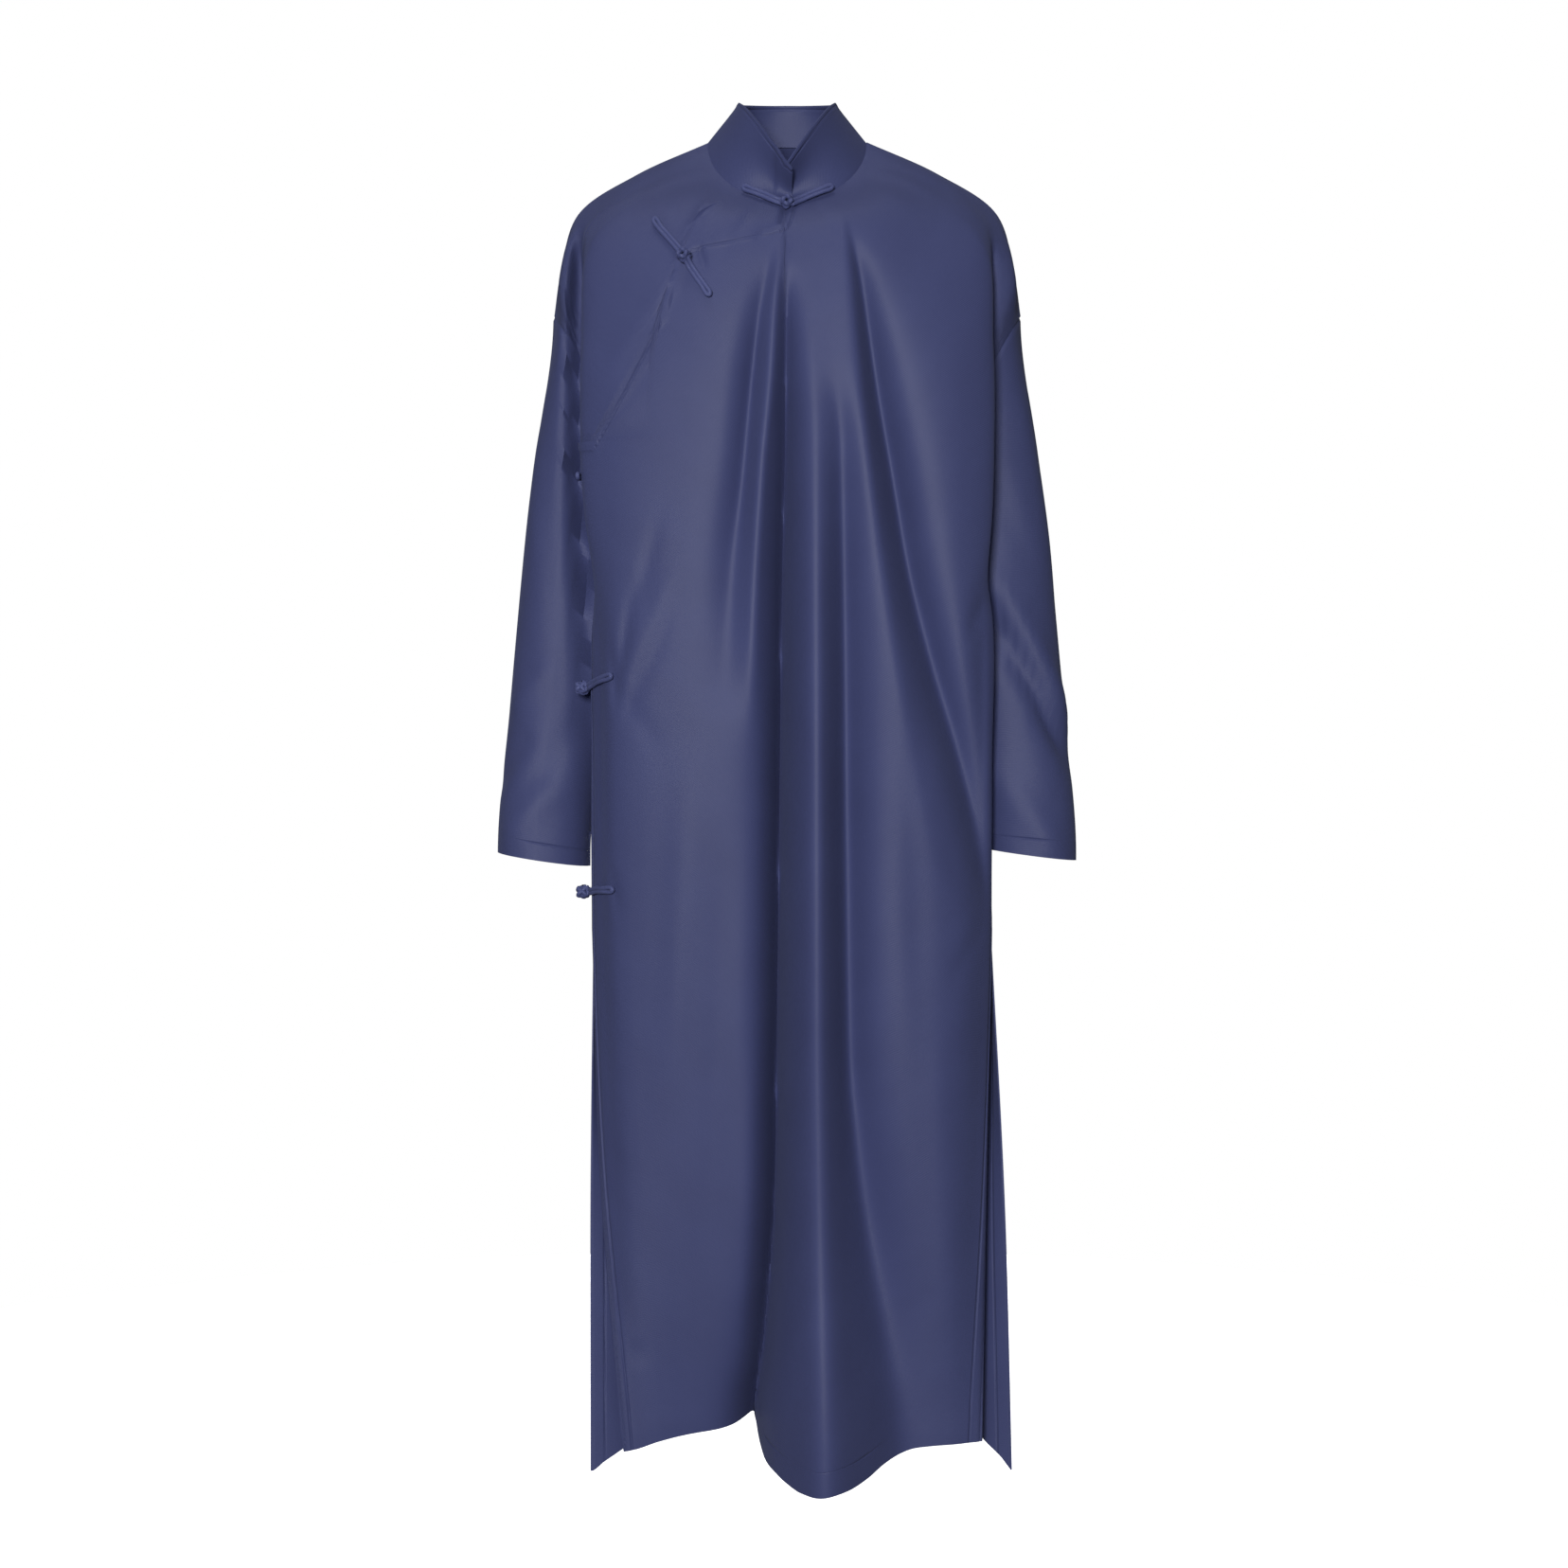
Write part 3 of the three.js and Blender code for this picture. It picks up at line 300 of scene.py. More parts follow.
def ringPoints(degrees, halfWidth, front, side, back):
    turn = np.radians(np.atleast_1d(degrees))
    share = np.abs(np.cos(turn))
    ends = np.where(np.cos(turn)[:, None] > 0, np.array(front), np.array(back))
    yz = np.array(side) + (ends - np.array(side)) * share[:, None]
    return np.column_stack([halfWidth * np.sin(turn), yz])


def neckPoints(degrees):
    return ringPoints(degrees, form["neckHalfWidth"], form["neckFront"], form["neckSide"], form["neckBack"])


def rimPoints(degrees):
    # The rim falls to a point at the front, and the end that laps over goes on falling past it.
    p = ringPoints(degrees, form["rimHalfWidth"], form["rimFront"], form["rimSide"], form["rimBack"])
    sine = np.sin(np.radians(degrees))
    fall = np.where(degrees > 360, 1 + 0.8 * sine, 1 - np.abs(sine))
    side, end = form["rimSide"][1], form["rimFront"][1]
    p[:, 2] = np.where(np.cos(np.radians(degrees)) > 0, side + (end - side) * fall, p[:, 2])
    return p


def sleevePoints(side, degrees, z):
    turn = np.radians(degrees)
    wide, deep = read(sleeve, "halfWidth", z), read(sleeve, "halfDepth", z)
    x = read(sleeve, "outer", z) - wide + wide * np.cos(turn)
    return np.column_stack([side * x, read(sleeve, "centreY", z) - deep * np.sin(turn), z])


def seamZ(degrees):
    share = (1 - math.cos(math.radians(degrees))) / 2
    return form["sleeveSeamOuterZ"] + (form["sleeveSeamInnerZ"] - form["sleeveSeamOuterZ"]) * share


skirtNames = {"chest": "Mid", "breast": "Hip", "lobe": "Lobe", "tuck": "Tuck", "crease": "Side"}


def guide(line, side, name=None, skirt=None):
    neck = neckPoints(line["neck"])[0] * (side, 1, 1)
    points = [neck, *(np.array(p) * (side, 1, 1) for p in line["at"])]
    if "ring" in line:
        z = seamZ(line["ring"])
        return np.array([*points, sleevePoints(side, np.array([line["ring"]]), np.array([z]))[0]])
    levels = skirt["rows"][::-1, 0]
    prefix = "left" if side > 0 else "right"
    for z in levels:
        x = 0 if name == "middle" else float(read(skirt, prefix + skirtNames[name] + "X", z))
        y = float(read(skirt, "middleY" if name == "middle" else prefix + skirtNames[name] + "Y", z))
        points.append(np.array([x, y, z]))
    return np.array(points)


def garmentSide(yoke, cap, skirt, hemLine, folds):
    lines = {
        side: [
            *(guide(line, side, name, skirt) for name, line in yoke.items()),
            *(guide(line, side) for line in [*cap.values(), shoulderLine]),
        ]
        for side in (-1, 1)
    }
    return {"lines": lines, "reach": len(lines[1]) - 1, "body": len(yoke) - 1, "folds": folds,
            "hemLine": hemLine, "lowest": skirt["rows"][0, 0]}


def edgeAt(line, v):
    upper = along(line, v)
    sewn = along(line[underarm : slit + 1], v - underarm)
    free = along(line[slit:], v - slit)
    return np.where((v <= underarm)[:, None], upper, np.where((v <= slit)[:, None], sewn, free))


def pointsOn(surface, u, v, pulls=()):
    # Places on one side of the garment: u counts guide lines from the middle, v counts stations down.
    u, v = (np.asarray(a, float).ravel() for a in np.broadcast_arrays(u, v))
    lines, body, reach = surface["lines"], surface["body"], surface["reach"]
    bySide = {
        side: [edgeAt(line, v) if k == body else along(line, v) for k, line in enumerate(lines[side])]
        for side in (-1, 1)
    }
    upper = along(np.array([*bySide[-1][:0:-1], *bySide[1]]), u + reach)
    beyond = []
    for side in (-1, 1):
        edge = bySide[side][body]
        arm = lines[side][body + 1][underarm] + edge - lines[side][body][underarm]
        plain = 2 * edge - bySide[side][body - 1]
        beyond.append(arm + (plain - arm) * smoothstep(v, underarm, underarm + 1)[:, None])
    across = [beyond[0], *bySide[-1][body:0:-1], *bySide[1][: body + 1], beyond[1]]
    lower = along(np.array(across), u + body + 1)
    p = np.where((v > underarm)[:, None], lower, upper)
    # The lowest stretch reaches down to the hem line.
    reachDown = np.maximum(0, v - hem + 1) ** 2
    p[:, 2] += (read(surface["hemLine"], "z", p[:, 0]) - surface["lowest"]) * reachDown
    fade = smoothstep(body - np.abs(u), 0, 0.8)
    if surface["folds"] is frontFolds:
        pastBody = smoothstep(np.abs(u), body, body + 0.6) * smoothstep(reach - np.abs(u), 0, 0.8)
        p[:, 1] += grooveAt(p[:, 0], p[:, 2]) * pastBody
    p[:, 1] += relief(surface["folds"], p[:, 0], p[:, 2]) * fade
    p[:, 1] += pullRelief(pulls, p[:, 0], p[:, 2]) * fade
    return p


front = garmentSide(frontYoke, frontCap, frontSkirt, frontHem, frontFolds)
back = garmentSide(backYoke, backCap, backSkirt, backHem, backFolds)

# Small creases that only show: [x0, z0, x1, z1, depth, width], from where each starts to where it dies out.
frontPulls = [
    [-90, -98, -76, -58, -1.6, 4],  # from the chest fastener up to the collar
    [-160, -522, -122, -370, 2.6, 7],  # from the waist fastener up the side
    [-150, -520, -106, -420, -2.2, 8],
    [-166, -545, -120, -600, 1.8, 7],
    [-158, -1205, -136, -1203, 1.6, 4],
    [-78, -62, -100, -101, -2.4, 4],
    [-1, -64, -5, -96, 5, 4.5],  # under the neck fastener
    [-8, -92, -34, -104, 2.6, 4],
    [-86, -112, -79, -136, 2.8, 3.5],
    [-164, -560, -136, -430, -3.0, 6],  # a fan above the waist fastener
    [-166, -556, -150, -440, 2.6, 5],
    [-158, -566, -112, -470, 2.2, 6],
    [-172, -500, -166, -562, 3.2, 5],  # beside the waist fastener
    [-172, -720, -164, -765, 2.6, 5],
    [193, -455, 176, -490, 2.6, 6],  # below the left underarm
    [196, -470, 201, -700, -2.4, 6],
    [-96, -640, -120, -1000, -2.4, 16],  # long shallow undulations of the skirt
    [-60, -700, -78, -1180, 3.0, 18],
    [118, -560, 132, -900, 2.4, 16],
    [150, -880, 160, -1220, -2.2, 16],
    [-30, -900, -44, -1240, -2.6, 12],
    [196, -762, 150, -700, 2.0, 9],  # at the top of the slit
    [196, -772, 158, -830, 1.6, 8],
    [-120, -150, -186, -250, -1.2, 10],  # along the underlap
    [-20, -50, -66, -128, 1.2, 6],
    [20, -50, 54, -120, 1.0, 6],
]


# The hidden back has similar ones.
backPulls = [
    [-30, 22, -70, -120, 1.8, 7],
    [30, 22, 78, -140, 1.6, 8],
    [-10, -40, -16, -330, -2.4, 9],
    [-150, -130, -96, -260, -2.6, 9],  # from the armholes
    [150, -120, 104, -270, -2.4, 10],
    [-150, -300, -84, -420, 2.4, 10],
    [152, -310, 92, -440, 2.6, 11],
    [-160, -420, -120, -700, -2.4, 13],
    [158, -450, 130, -760, -2.8, 14],
    [-26, -420, -34, -820, -3.0, 13],
    [44, -560, 58, -1020, -2.6, 14],
    [-88, -760, -102, -1200, -3.0, 16],
    [112, -820, 120, -1240, -2.8, 15],
    [10, -900, 2, -1250, 2.4, 12],
]


def addPiece(name, mesh, material):
    piece = bpy.data.objects.new(name, mesh)
    bpy.context.scene.collection.objects.link(piece)
    mesh.materials.append(material)
    return piece


# Sheets of points, and the closed walls of the pieces that are cut from them.
def makeSheet(rows, outward=1, normalRule=None):
    points = np.array(rows)
    shape = points.shape[:2]
    flat = points.reshape(-1, 3)
    _, first, ids = np.unique(np.round(flat, 2), axis=0, return_index=True, return_inverse=True)
    made = {"places": flat[first], "grid": ids.reshape(shape), "outward": outward, "rows": points}
    faces = facesOf(made, np.ones((shape[0] - 1, shape[1] - 1), bool))
    normals = np.zeros_like(made["places"])
    for tri in (faces[:, [0, 1, 2]], faces[:, [0, 2, 3]]):
        a, b, c = (made["places"][tri[:, k]] for k in range(3))
        crossed = np.cross(b - a, c - a)
        for k in range(3):
            np.add.at(normals, tri[:, k], crossed)
    made["normals"] = unit(normals)
    if normalRule:
        normalRule(made)
    return made


def facesOf(made, cells):
    g = made["grid"]
    quads = np.stack([g[:-1, :-1], g[1:, :-1], g[1:, 1:], g[:-1, 1:]], axis=-1)[cells]
    return quads if made["outward"] > 0 else quads[:, [0, 3, 2, 1]]


farFromStitches = 30.0
sharpAngle = math.radians(65)


def makeWall(name, made, cells, material, lift=0, thickness=form["clothThickness"], move=None, bands=()):
    # A closed shell that fills from lift to lift less its thickness along the sheet's normals.
    quads = facesOf(made, cells)
    count = len(made["places"])
    shift = np.zeros((count, 3)) if move is None else move
    near = np.full(count, farFromStitches)
    double = np.zeros((count, 1))
    # Cloth that is turned in at a finished edge lies double, so it stands a little proud.
    for line, (width, proud) in bands:
        distance = nearestDistance(made["places"], line)
        near = np.minimum(near, np.abs(distance - width))
        double = np.maximum(double, proud * (1 - smoothstep(distance / width, 0.85, 1.1))[:, None])
    outer = made["places"] + made["normals"] * (lift + double) + shift
    inner = made["places"] + made["normals"] * (lift - thickness) + shift
    edges = np.concatenate([quads[:, [k, (k + 1) % 4]] for k in range(4)])
    edges = edges[edges[:, 0] != edges[:, 1]]
    codes = edges[:, 0] * count + edges[:, 1]
    rim = edges[~np.isin(codes, edges[:, 1] * count + edges[:, 0])]
    faces = [*quads, *(quads[:, ::-1] + count)]
    faces += [(b, a, a + count, b + count) for a, b in rim]
    clean = []
    for face in faces:
        face = [int(k) for k in face]
        face = [k for n, k in enumerate(face) if k != face[n - 1]]
        if len(face) > 2:
            clean.append(face)
    used = np.unique(np.concatenate([np.array(f) for f in clean]))
    renumber = np.full(count * 2, -1)
    renumber[used] = np.arange(len(used))
    places = np.concatenate([outer, inner])[used] * millimetre
    mesh = bpy.data.meshes.new(name)
    mesh.from_pydata(places.tolist(), [], [[int(renumber[k]) for k in f] for f in clean])
    mesh.validate()
    mesh.polygons.foreach_set("use_smooth", [True] * len(mesh.polygons))
    mesh.set_sharp_from_angle(angle=sharpAngle)
    addCoordinates(mesh, laidFlat(made)[used % count], near[used % count])
    return addPiece(name, mesh, material)


def lengthAlong(points, axis):
    steps = np.linalg.norm(np.diff(points, axis=axis), axis=2)
    return np.insert(np.cumsum(steps, axis), 0, 0, axis=axis)


def laidFlat(made):
    # Where each point of a sheet lies in the weave, in millimetres along and across it.
    across = lengthAlong(made["rows"], 1)
    across -= across[:, [across.shape[1] // 2]]
    down = lengthAlong(made["rows"], 0)
    flat = np.zeros((len(made["places"]), 2))
    flat[made["grid"].ravel()] = np.column_stack([across.ravel(), down.ravel()])
    return flat


def addCoordinates(mesh, flat, near):
    # Each point's place in the weave, in metres, and how far it is from a finished edge's stitches.
    uv = mesh.uv_layers.new(name="weave")
    loops = np.zeros(len(mesh.loops), int)
    mesh.loops.foreach_get("vertex_index", loops)
    uv.data.foreach_set("uv", (flat[loops] * millimetre).ravel())
    stitches = mesh.attributes.new("hem", "FLOAT", "POINT")
    stitches.data.foreach_set("value", near)


def nearestDistance(points, line):
    line = densify(line, 2.0)
    best = np.full(len(points), 1e9)
    for k in range(0, len(line), 64):
        part = line[k : k + 64]
        best = np.minimum(best, np.sqrt(((points[:, None] - part[None]) ** 2).sum(2)).min(1))
    return best


def densify(line, step):
    line = np.asarray(line)
    lengths = np.concatenate([[0], np.cumsum(np.linalg.norm(np.diff(line, axis=0), axis=1))])
    at = np.linspace(0, lengths[-1], max(2, int(lengths[-1] / step)))
    return np.column_stack([np.interp(at, lengths, line[:, k]) for k in range(3)])


# Colours are the photograph's, as sRGB hex.
def linear(hexColour):
    values = [int(hexColour[k : k + 2], 16) / 255 for k in (1, 3, 5)]
    return (*((v / 12.92 if v <= 0.04045 else ((v + 0.055) / 1.055) ** 2.4) for v in values), 1)


def addNode(tree, kind, inputs=None, **settings):
    node = tree.nodes.new("ShaderNode" + kind)
    for key, value in settings.items():
        setattr(node, key, value)
    for key, value in (inputs or {}).items():
        if isinstance(value, bpy.types.NodeSocket):
            tree.links.new(value, node.inputs[key])
        else:
            node.inputs[key].default_value = value
    return node


cottonLook = {
    "colour": "#434972",
    "worn": "#3c4167",  # the cloudy, slightly darker tone of piece-dyed cotton
    "roughness": 0.48,
    "sheen": 0.12,
    "yarn": 0.0016,  # real yarns are 0.4 mm apart, drawn four times coarser so that they show
    "weaveHeight": 0.00008,
    "stitches": (1.9, -18.0),  # half the groove's width in mm, and its depth in weave heights
}


def wovenCotton(name, look):
    # The eye gets a matte, softly clouded indigo from the cloth, and a pale bloom at grazing angles.
    material = bpy.data.materials.new(name)
    material.use_nodes = True
    tree = material.node_tree
    shader = tree.nodes["Principled BSDF"]
    place = addNode(tree, "UVMap", uv_map="weave")
    cloud = addNode(tree, "TexNoise", {"Vector": place.outputs[0], "Scale": 14.0, "Detail": 5.0})
    tones = {0: cloud.outputs[0], 6: linear(look["worn"]), 7: linear(look["colour"])}
    toned = addNode(tree, "Mix", tones, data_type="RGBA")
    # Bump by hand: plain weave, slubs, and the groove where a hem is stitched down.
    scaled = addNode(tree, "VectorMath", {0: place.outputs[0], "Scale": 2 * math.pi / look["yarn"]},
                     operation="SCALE")
    split = addNode(tree, "SeparateXYZ", {0: scaled.outputs[0]})
    warp = addNode(tree, "Math", {0: split.outputs[0]}, operation="SINE")
    weft = addNode(tree, "Math", {0: split.outputs[1]}, operation="SINE")
    weave = addNode(tree, "Math", {0: warp.outputs[0], 1: weft.outputs[0]}, operation="MULTIPLY")
    slub = addNode(tree, "TexNoise", {"Vector": place.outputs[0], "Scale": 420.0, "Detail": 2.0})
    grain = addNode(tree, "Math", {0: slub.outputs[0], 1: 1.5, 2: weave.outputs[0]},
                    operation="MULTIPLY_ADD")
    hem = addNode(tree, "Attribute", attribute_name="hem")
    width, depth = look["stitches"]
    groove = addNode(tree, "MapRange", {0: hem.outputs["Fac"], 1: 0.0, 2: width, 3: depth, 4: 0.0})
    height = addNode(tree, "Math", {0: grain.outputs[0], 1: groove.outputs[0]}, operation="ADD")
    bump = addNode(tree, "Bump", {"Height": height.outputs[0], "Distance": look["weaveHeight"],
                                            "Strength": 0.8})
    tree.links.new(toned.outputs[2], shader.inputs["Base Color"])
    tree.links.new(bump.outputs[0], shader.inputs["Normal"])
    shader.inputs["Roughness"].default_value = look["roughness"]
    shader.inputs["IOR"].default_value = 1.45
    shader.inputs["Specular IOR Level"].default_value = 0.24
    shader.inputs["Sheen Weight"].default_value = look["sheen"]
    shader.inputs["Sheen Roughness"].default_value = 0.5
    shader.inputs["Sheen Tint"].default_value = linear("#8b93bd")
    return material


cotton = wovenCotton("woven indigo cotton", cottonLook)
# The cord is the same indigo cotton as the robe. Its colour is painted lighter than the cloth's, a painted
# highlight that stands for the light on the cords' round tops; its darker tone is the cloth's own colour.
paintedHighlightCordLook = {**cottonLook, "colour": "#505682", "worn": "#434972", "roughness": 0.42, "weaveHeight": 0.00012}
cordCotton = wovenCotton("indigo cotton cord painted lighter for highlight", paintedHighlightCordLook)

# Rows and columns of the front: closer than the solid's, through the same guide lines.
openingLine = table(["x", "z"], [
    [-201, -321], [-190, -298], [-173, -267], [-154, -231], [-135, -194], [-124, -173], [-116, -155],
    [-108, -119], [-102, -113], [-83, -105.5], [-59, -101], [-30, -95], [-8, -91], [-3, -84], [0, -62],
])
skirtRows = {"toHip": 30, "toSlit": 30, "toHem": 50}
skirtLevels = np.concatenate([
    np.linspace(underarm, underarm + 2, skirtRows["toHip"] + 1)[1:],
    np.linspace(underarm + 2, slit, skirtRows["toSlit"] + 1)[1:],
    np.linspace(slit, hem, skirtRows["toHem"] + 1)[1:],
])
slitRows = skirtRows["toHip"] + skirtRows["toSlit"]
frontLook = {
    "upperRows": 40,
    "yokeRows": 60,
    "sleeveColumns": 20,
    "bodyColumns": [(-5, -1.2, 54), (-1.2, 2.4, 150), (2.4, 5, 44)],  # from, to and how many
    "openingBand": (9, 1.5),  # how wide a doubled edge is, and how far it stands proud
    "rightSideBand": (9, 1.2),
    "slitBand": (14, 0.6),
    "hemBand": (24, 0.6),
}


def stationsAt(surface, u, heightOf, lowest, pulls=()):
    # Where the guide lines pass a height, found by halving the stretch again and again.
    low, high = np.zeros(len(u)), np.full(len(u), float(lowest))
    for _ in range(26):
        middle = (low + high) / 2
        p = pointsOn(surface, u, middle, pulls)
        above = p[:, 2] > heightOf(p[:, 0])
        low, high = np.where(above, middle, low), np.where(above, high, middle)
    return low


def openingStations(columns):
    found = stationsAt(front, columns, lambda x: read(openingLine, "z", x), underarm)
    found[columns >= 0] = 0
    found[columns <= onLine - front["body"]] = underarm
    return found


def bodyOnly(surface, columns):
    return np.sign(columns) * np.minimum(np.abs(columns), surface["body"])


def armNormals(p):
    wide, deep = read(sleeve, "halfWidth", p[:, 2]), read(sleeve, "halfDepth", p[:, 2])
    x = (np.abs(p[:, 0]) - read(sleeve, "outer", p[:, 2]) + wide) / wide**2
    n = np.column_stack([np.sign(p[:, 0]) * x, (p[:, 1] - read(sleeve, "centreY", p[:, 2])) / deep**2, 0 * x])
    return unit(n)


def seamRule(surface, columns, yokeRow):
    # Pieces that are sewn together share their normals along the seam.
    u = np.abs(columns)
    shoulder = u > surface["reach"] - onLine
    side = np.abs(u - surface["body"]) < onLine

    def rule(made):
        g = made["grid"]
        held = np.unique([*g[:yokeRow, shoulder].ravel(), *g[yokeRow + 1 :, side].ravel()])
        made["normals"][held, 1] = 0
        made["normals"] = unit(made["normals"])
        seam = g[yokeRow, u > surface["body"] + onLine]
        made["normals"][seam] = armNormals(made["places"][seam])

    return rule


def holdBack(made, surface, columns, yokeRow, facing):
    # Each seam's edge is held back a little from its neighbour.
    u = np.abs(columns)
    g = made["grid"]
    shift = np.zeros((len(made["places"]), 3))
    half = form["seamGap"] / 2
    shift[g[:, u > surface["reach"] - onLine].ravel(), 1] = facing * half
    side = np.abs(u - surface["body"]) < onLine
    shift[g[yokeRow + 1 :, side].ravel(), 1] = facing * half
    shift[g[yokeRow, u > surface["body"] + onLine], 2] = half
    shift[g[yokeRow, side]] = (0, facing * form["seamTuck"], form["seamGap"])
    return shift


def columnsOf(surface, look):
    body, reach = surface["body"], surface["reach"]
    return np.round(np.concatenate([
        np.linspace(-reach, -body, look["sleeveColumns"], endpoint=False),
        *(np.linspace(low, high, count, endpoint=False) for low, high, count in look["bodyColumns"]),
        np.linspace(body, reach, look["sleeveColumns"] + 1),
    ]), 6)


def rowsOf(surface, columns, levels, yokeRow, pulls):
    across = np.array([columns if k <= yokeRow else bodyOnly(surface, columns) for k in range(len(levels))])
    return pointsOn(surface, across, levels, pulls).reshape(*levels.shape, 3)


def cellsOf(rows, columns):
    # Each cell's row number, and the middle between its columns.
    return np.arange(len(rows) - 1)[:, None], (columns[:-1] + columns[1:])[None] / 2


def bodyEdges(look):
    # The columns of the body's right and left side.
    first = look["sleeveColumns"]
    return first, first + sum(count for _, _, count in look["bodyColumns"])


frontColumns = columnsOf(front, frontLook)
opening = openingStations(frontColumns)
upper = frontLook["upperRows"]
yokeRow = upper + frontLook["yokeRows"]
slitRow = yokeRow + slitRows
levels = np.array([
    *(opening * t for t in np.linspace(0, 1, upper + 1)),
    *(opening + (underarm - opening) * t for t in np.linspace(0, 1, frontLook["yokeRows"] + 1)[1:]),
    *(np.full(len(frontColumns), v) for v in skirtLevels),
])
frontRows = rowsOf(front, frontColumns, levels, yokeRow, frontPulls)
frontSheet = makeSheet(frontRows, 1, seamRule(front, frontColumns, yokeRow))
frontHold = holdBack(frontSheet, front, frontColumns, yokeRow, -1)
print("stage: front sheet", frontRows.shape)

rowAt, middleOf = cellsOf(frontRows, frontColumns)
inBody = np.abs(middleOf) < front["body"]
first, last = bodyEdges(frontLook)
openingEdge = frontRows[upper, (frontColumns >= -front["body"]) & (frontColumns <= 0)]
frontPanel = makeWall(
    "big_front_panel", frontSheet,
    (rowAt >= upper) & (inBody | ((middleOf > 0) & (rowAt < yokeRow))),
    cotton, form["overlapRaise"], move=frontHold,
    bands=[
        (openingEdge, frontLook["openingBand"]),
        (frontRows[yokeRow:, first], frontLook["rightSideBand"]),
        (frontRows[slitRow:, last], frontLook["slitBand"]),
        (frontRows[-1, first : last + 1], frontLook["hemBand"]),
    ],
)

# The underlap runs about 40 mm under the opening edge, and down the right side to the slit.
underlapLook = {"rowsUnderOpening": 10, "sideStrip": -3.5, "underMiddle": 0.2}
sideStrip = middleOf < underlapLook["sideStrip"]
underOpening = rowAt < upper + underlapLook["rowsUnderOpening"]
underlapCells = np.where(
    rowAt < upper, middleOf < 0,
    inBody & (middleOf < underlapLook["underMiddle"])
    & np.where(rowAt < yokeRow, underOpening | sideStrip, (rowAt < slitRow) & sideStrip),
)
underlap = makeWall("underlap_cloth", frontSheet, underlapCells, cotton,
                    form["overlapRaise"] - form["clothThickness"] - form["seamGap"], move=frontHold)

backLook = {"yokeRows": 60, "sleeveColumns": 18, "bodyColumns": [(-4, 4, 140)],
            "slitBand": (14, 0.6), "hemBand": (24, 0.6)}
backColumns = columnsOf(back, backLook)
backYokeRow = backLook["yokeRows"]
backLevels = np.concatenate([np.linspace(0, underarm, backYokeRow + 1), skirtLevels])
backLevels = np.repeat(backLevels[:, None], len(backColumns), 1)
backRows = rowsOf(back, backColumns, backLevels, backYokeRow, backPulls)
backSheet = makeSheet(backRows, -1, seamRule(back, backColumns, backYokeRow))
rowAt, middleOf = cellsOf(backRows, backColumns)
backSlit = backYokeRow + slitRows
first, last = bodyEdges(backLook)
backPanel = makeWall(
    "back_panel_cloth", backSheet,
    (rowAt < backYokeRow) | (np.abs(middleOf) < back["body"]),
    cotton, move=holdBack(backSheet, back, backColumns, backYokeRow, 1),
    bands=[
        (backRows[backSlit:, first], backLook["slitBand"]),
        (backRows[backSlit:, last], backLook["slitBand"]),
        (backRows[-1, first : last + 1], backLook["hemBand"]),
    ],
)
print("stage: panels", [len(panel.data.polygons) for panel in (frontPanel, underlap, backPanel)])

# A sleeve hangs from the seam points of the front and back caps, which it shares.
sleeveLook = {
    "rows": 110,
    "columns": 18,
    "tuckIn": 0.8,  # how far the first row reaches in under the upper arm's edge, and up
    "corner": (2.4, -1.5),  # how far out and down its two ends are held at the underarm
    "cuffBand": (17, 0.6),
}
frontRing = table(["u", "degrees"], [[5, 180], [6, 96], [7, 42], [8, 0]])
backRing = table(["u", "degrees"], [[7, 0], [6, -42], [5, -96], [4, -180]])


def sleeveSheet(side, folds):
    fine = sleeveLook["columns"]
    frontU = np.linspace(front["body"], front["reach"], fine + 1)
    backU = np.linspace(back["reach"], back["body"], fine + 1)[1:]
    degrees = np.concatenate([read(frontRing, "degrees", frontU), read(backRing, "degrees", backU)])
    seam = np.concatenate([
        pointsOn(front, side * frontU, np.full(len(frontU), float(underarm)), frontPulls),
        pointsOn(back, side * backU, np.full(len(backU), float(underarm)), backPulls),
    ])
    inFront = smoothstep(degrees, 10, 40) * (degrees < 180)

    def folded(z):
        p = sleevePoints(side, degrees, z)
        p[:, 1] += grooveAt(p[:, 0], p[:, 2]) * inFront
        return p

    fold = folded(seam[:, 2])
    outer, inner = form["cuffZ"][side]
    cuff = (outer + inner) / 2 + (outer - inner) / 2 * np.cos(np.radians(degrees))
    rows = []
    for t in np.linspace(0, 1, sleeveLook["rows"] + 1):
        z = seam[:, 2] + (cuff - seam[:, 2]) * t
        p = folded(z) + (seam - fold) * (1 - smoothstep(t, 0, 0.16))
        out = armNormals(p)
        p += out * (sleeveRelief(folds, degrees, z) * smoothstep(t, 0, 0.06))[:, None]
        rows.append(p)

    def rule(made):
        seamIds = made["grid"][0]
        made["normals"][seamIds] = armNormals(made["places"][seamIds])

    return makeSheet(rows, -side, rule)


def sleeveRelief(folds, degrees, z):
    # Creases across the sleeve: angle and height where each starts and ends, how far out, and how wide.
    total = np.zeros(len(degrees))
    perDegree = 0.85  # millimetres round the sleeve for each degree
    for a0, z0, a1, z1, out, width in folds:
        line = np.array([(a1 - a0) * perDegree, z1 - z0])
        length = np.hypot(*line)
        t = ((degrees - a0) * perDegree * line[0] + (z - z0) * line[1]) / length**2
        off = ((degrees - a0) * perDegree * line[1] - (z - z0) * line[0]) / length
        ends = smoothstep(t, -0.2, 0.15) * (1 - smoothstep(t, 0.8, 1.25))
        total += out * ends * np.exp(-((off / width) ** 2))
    return total


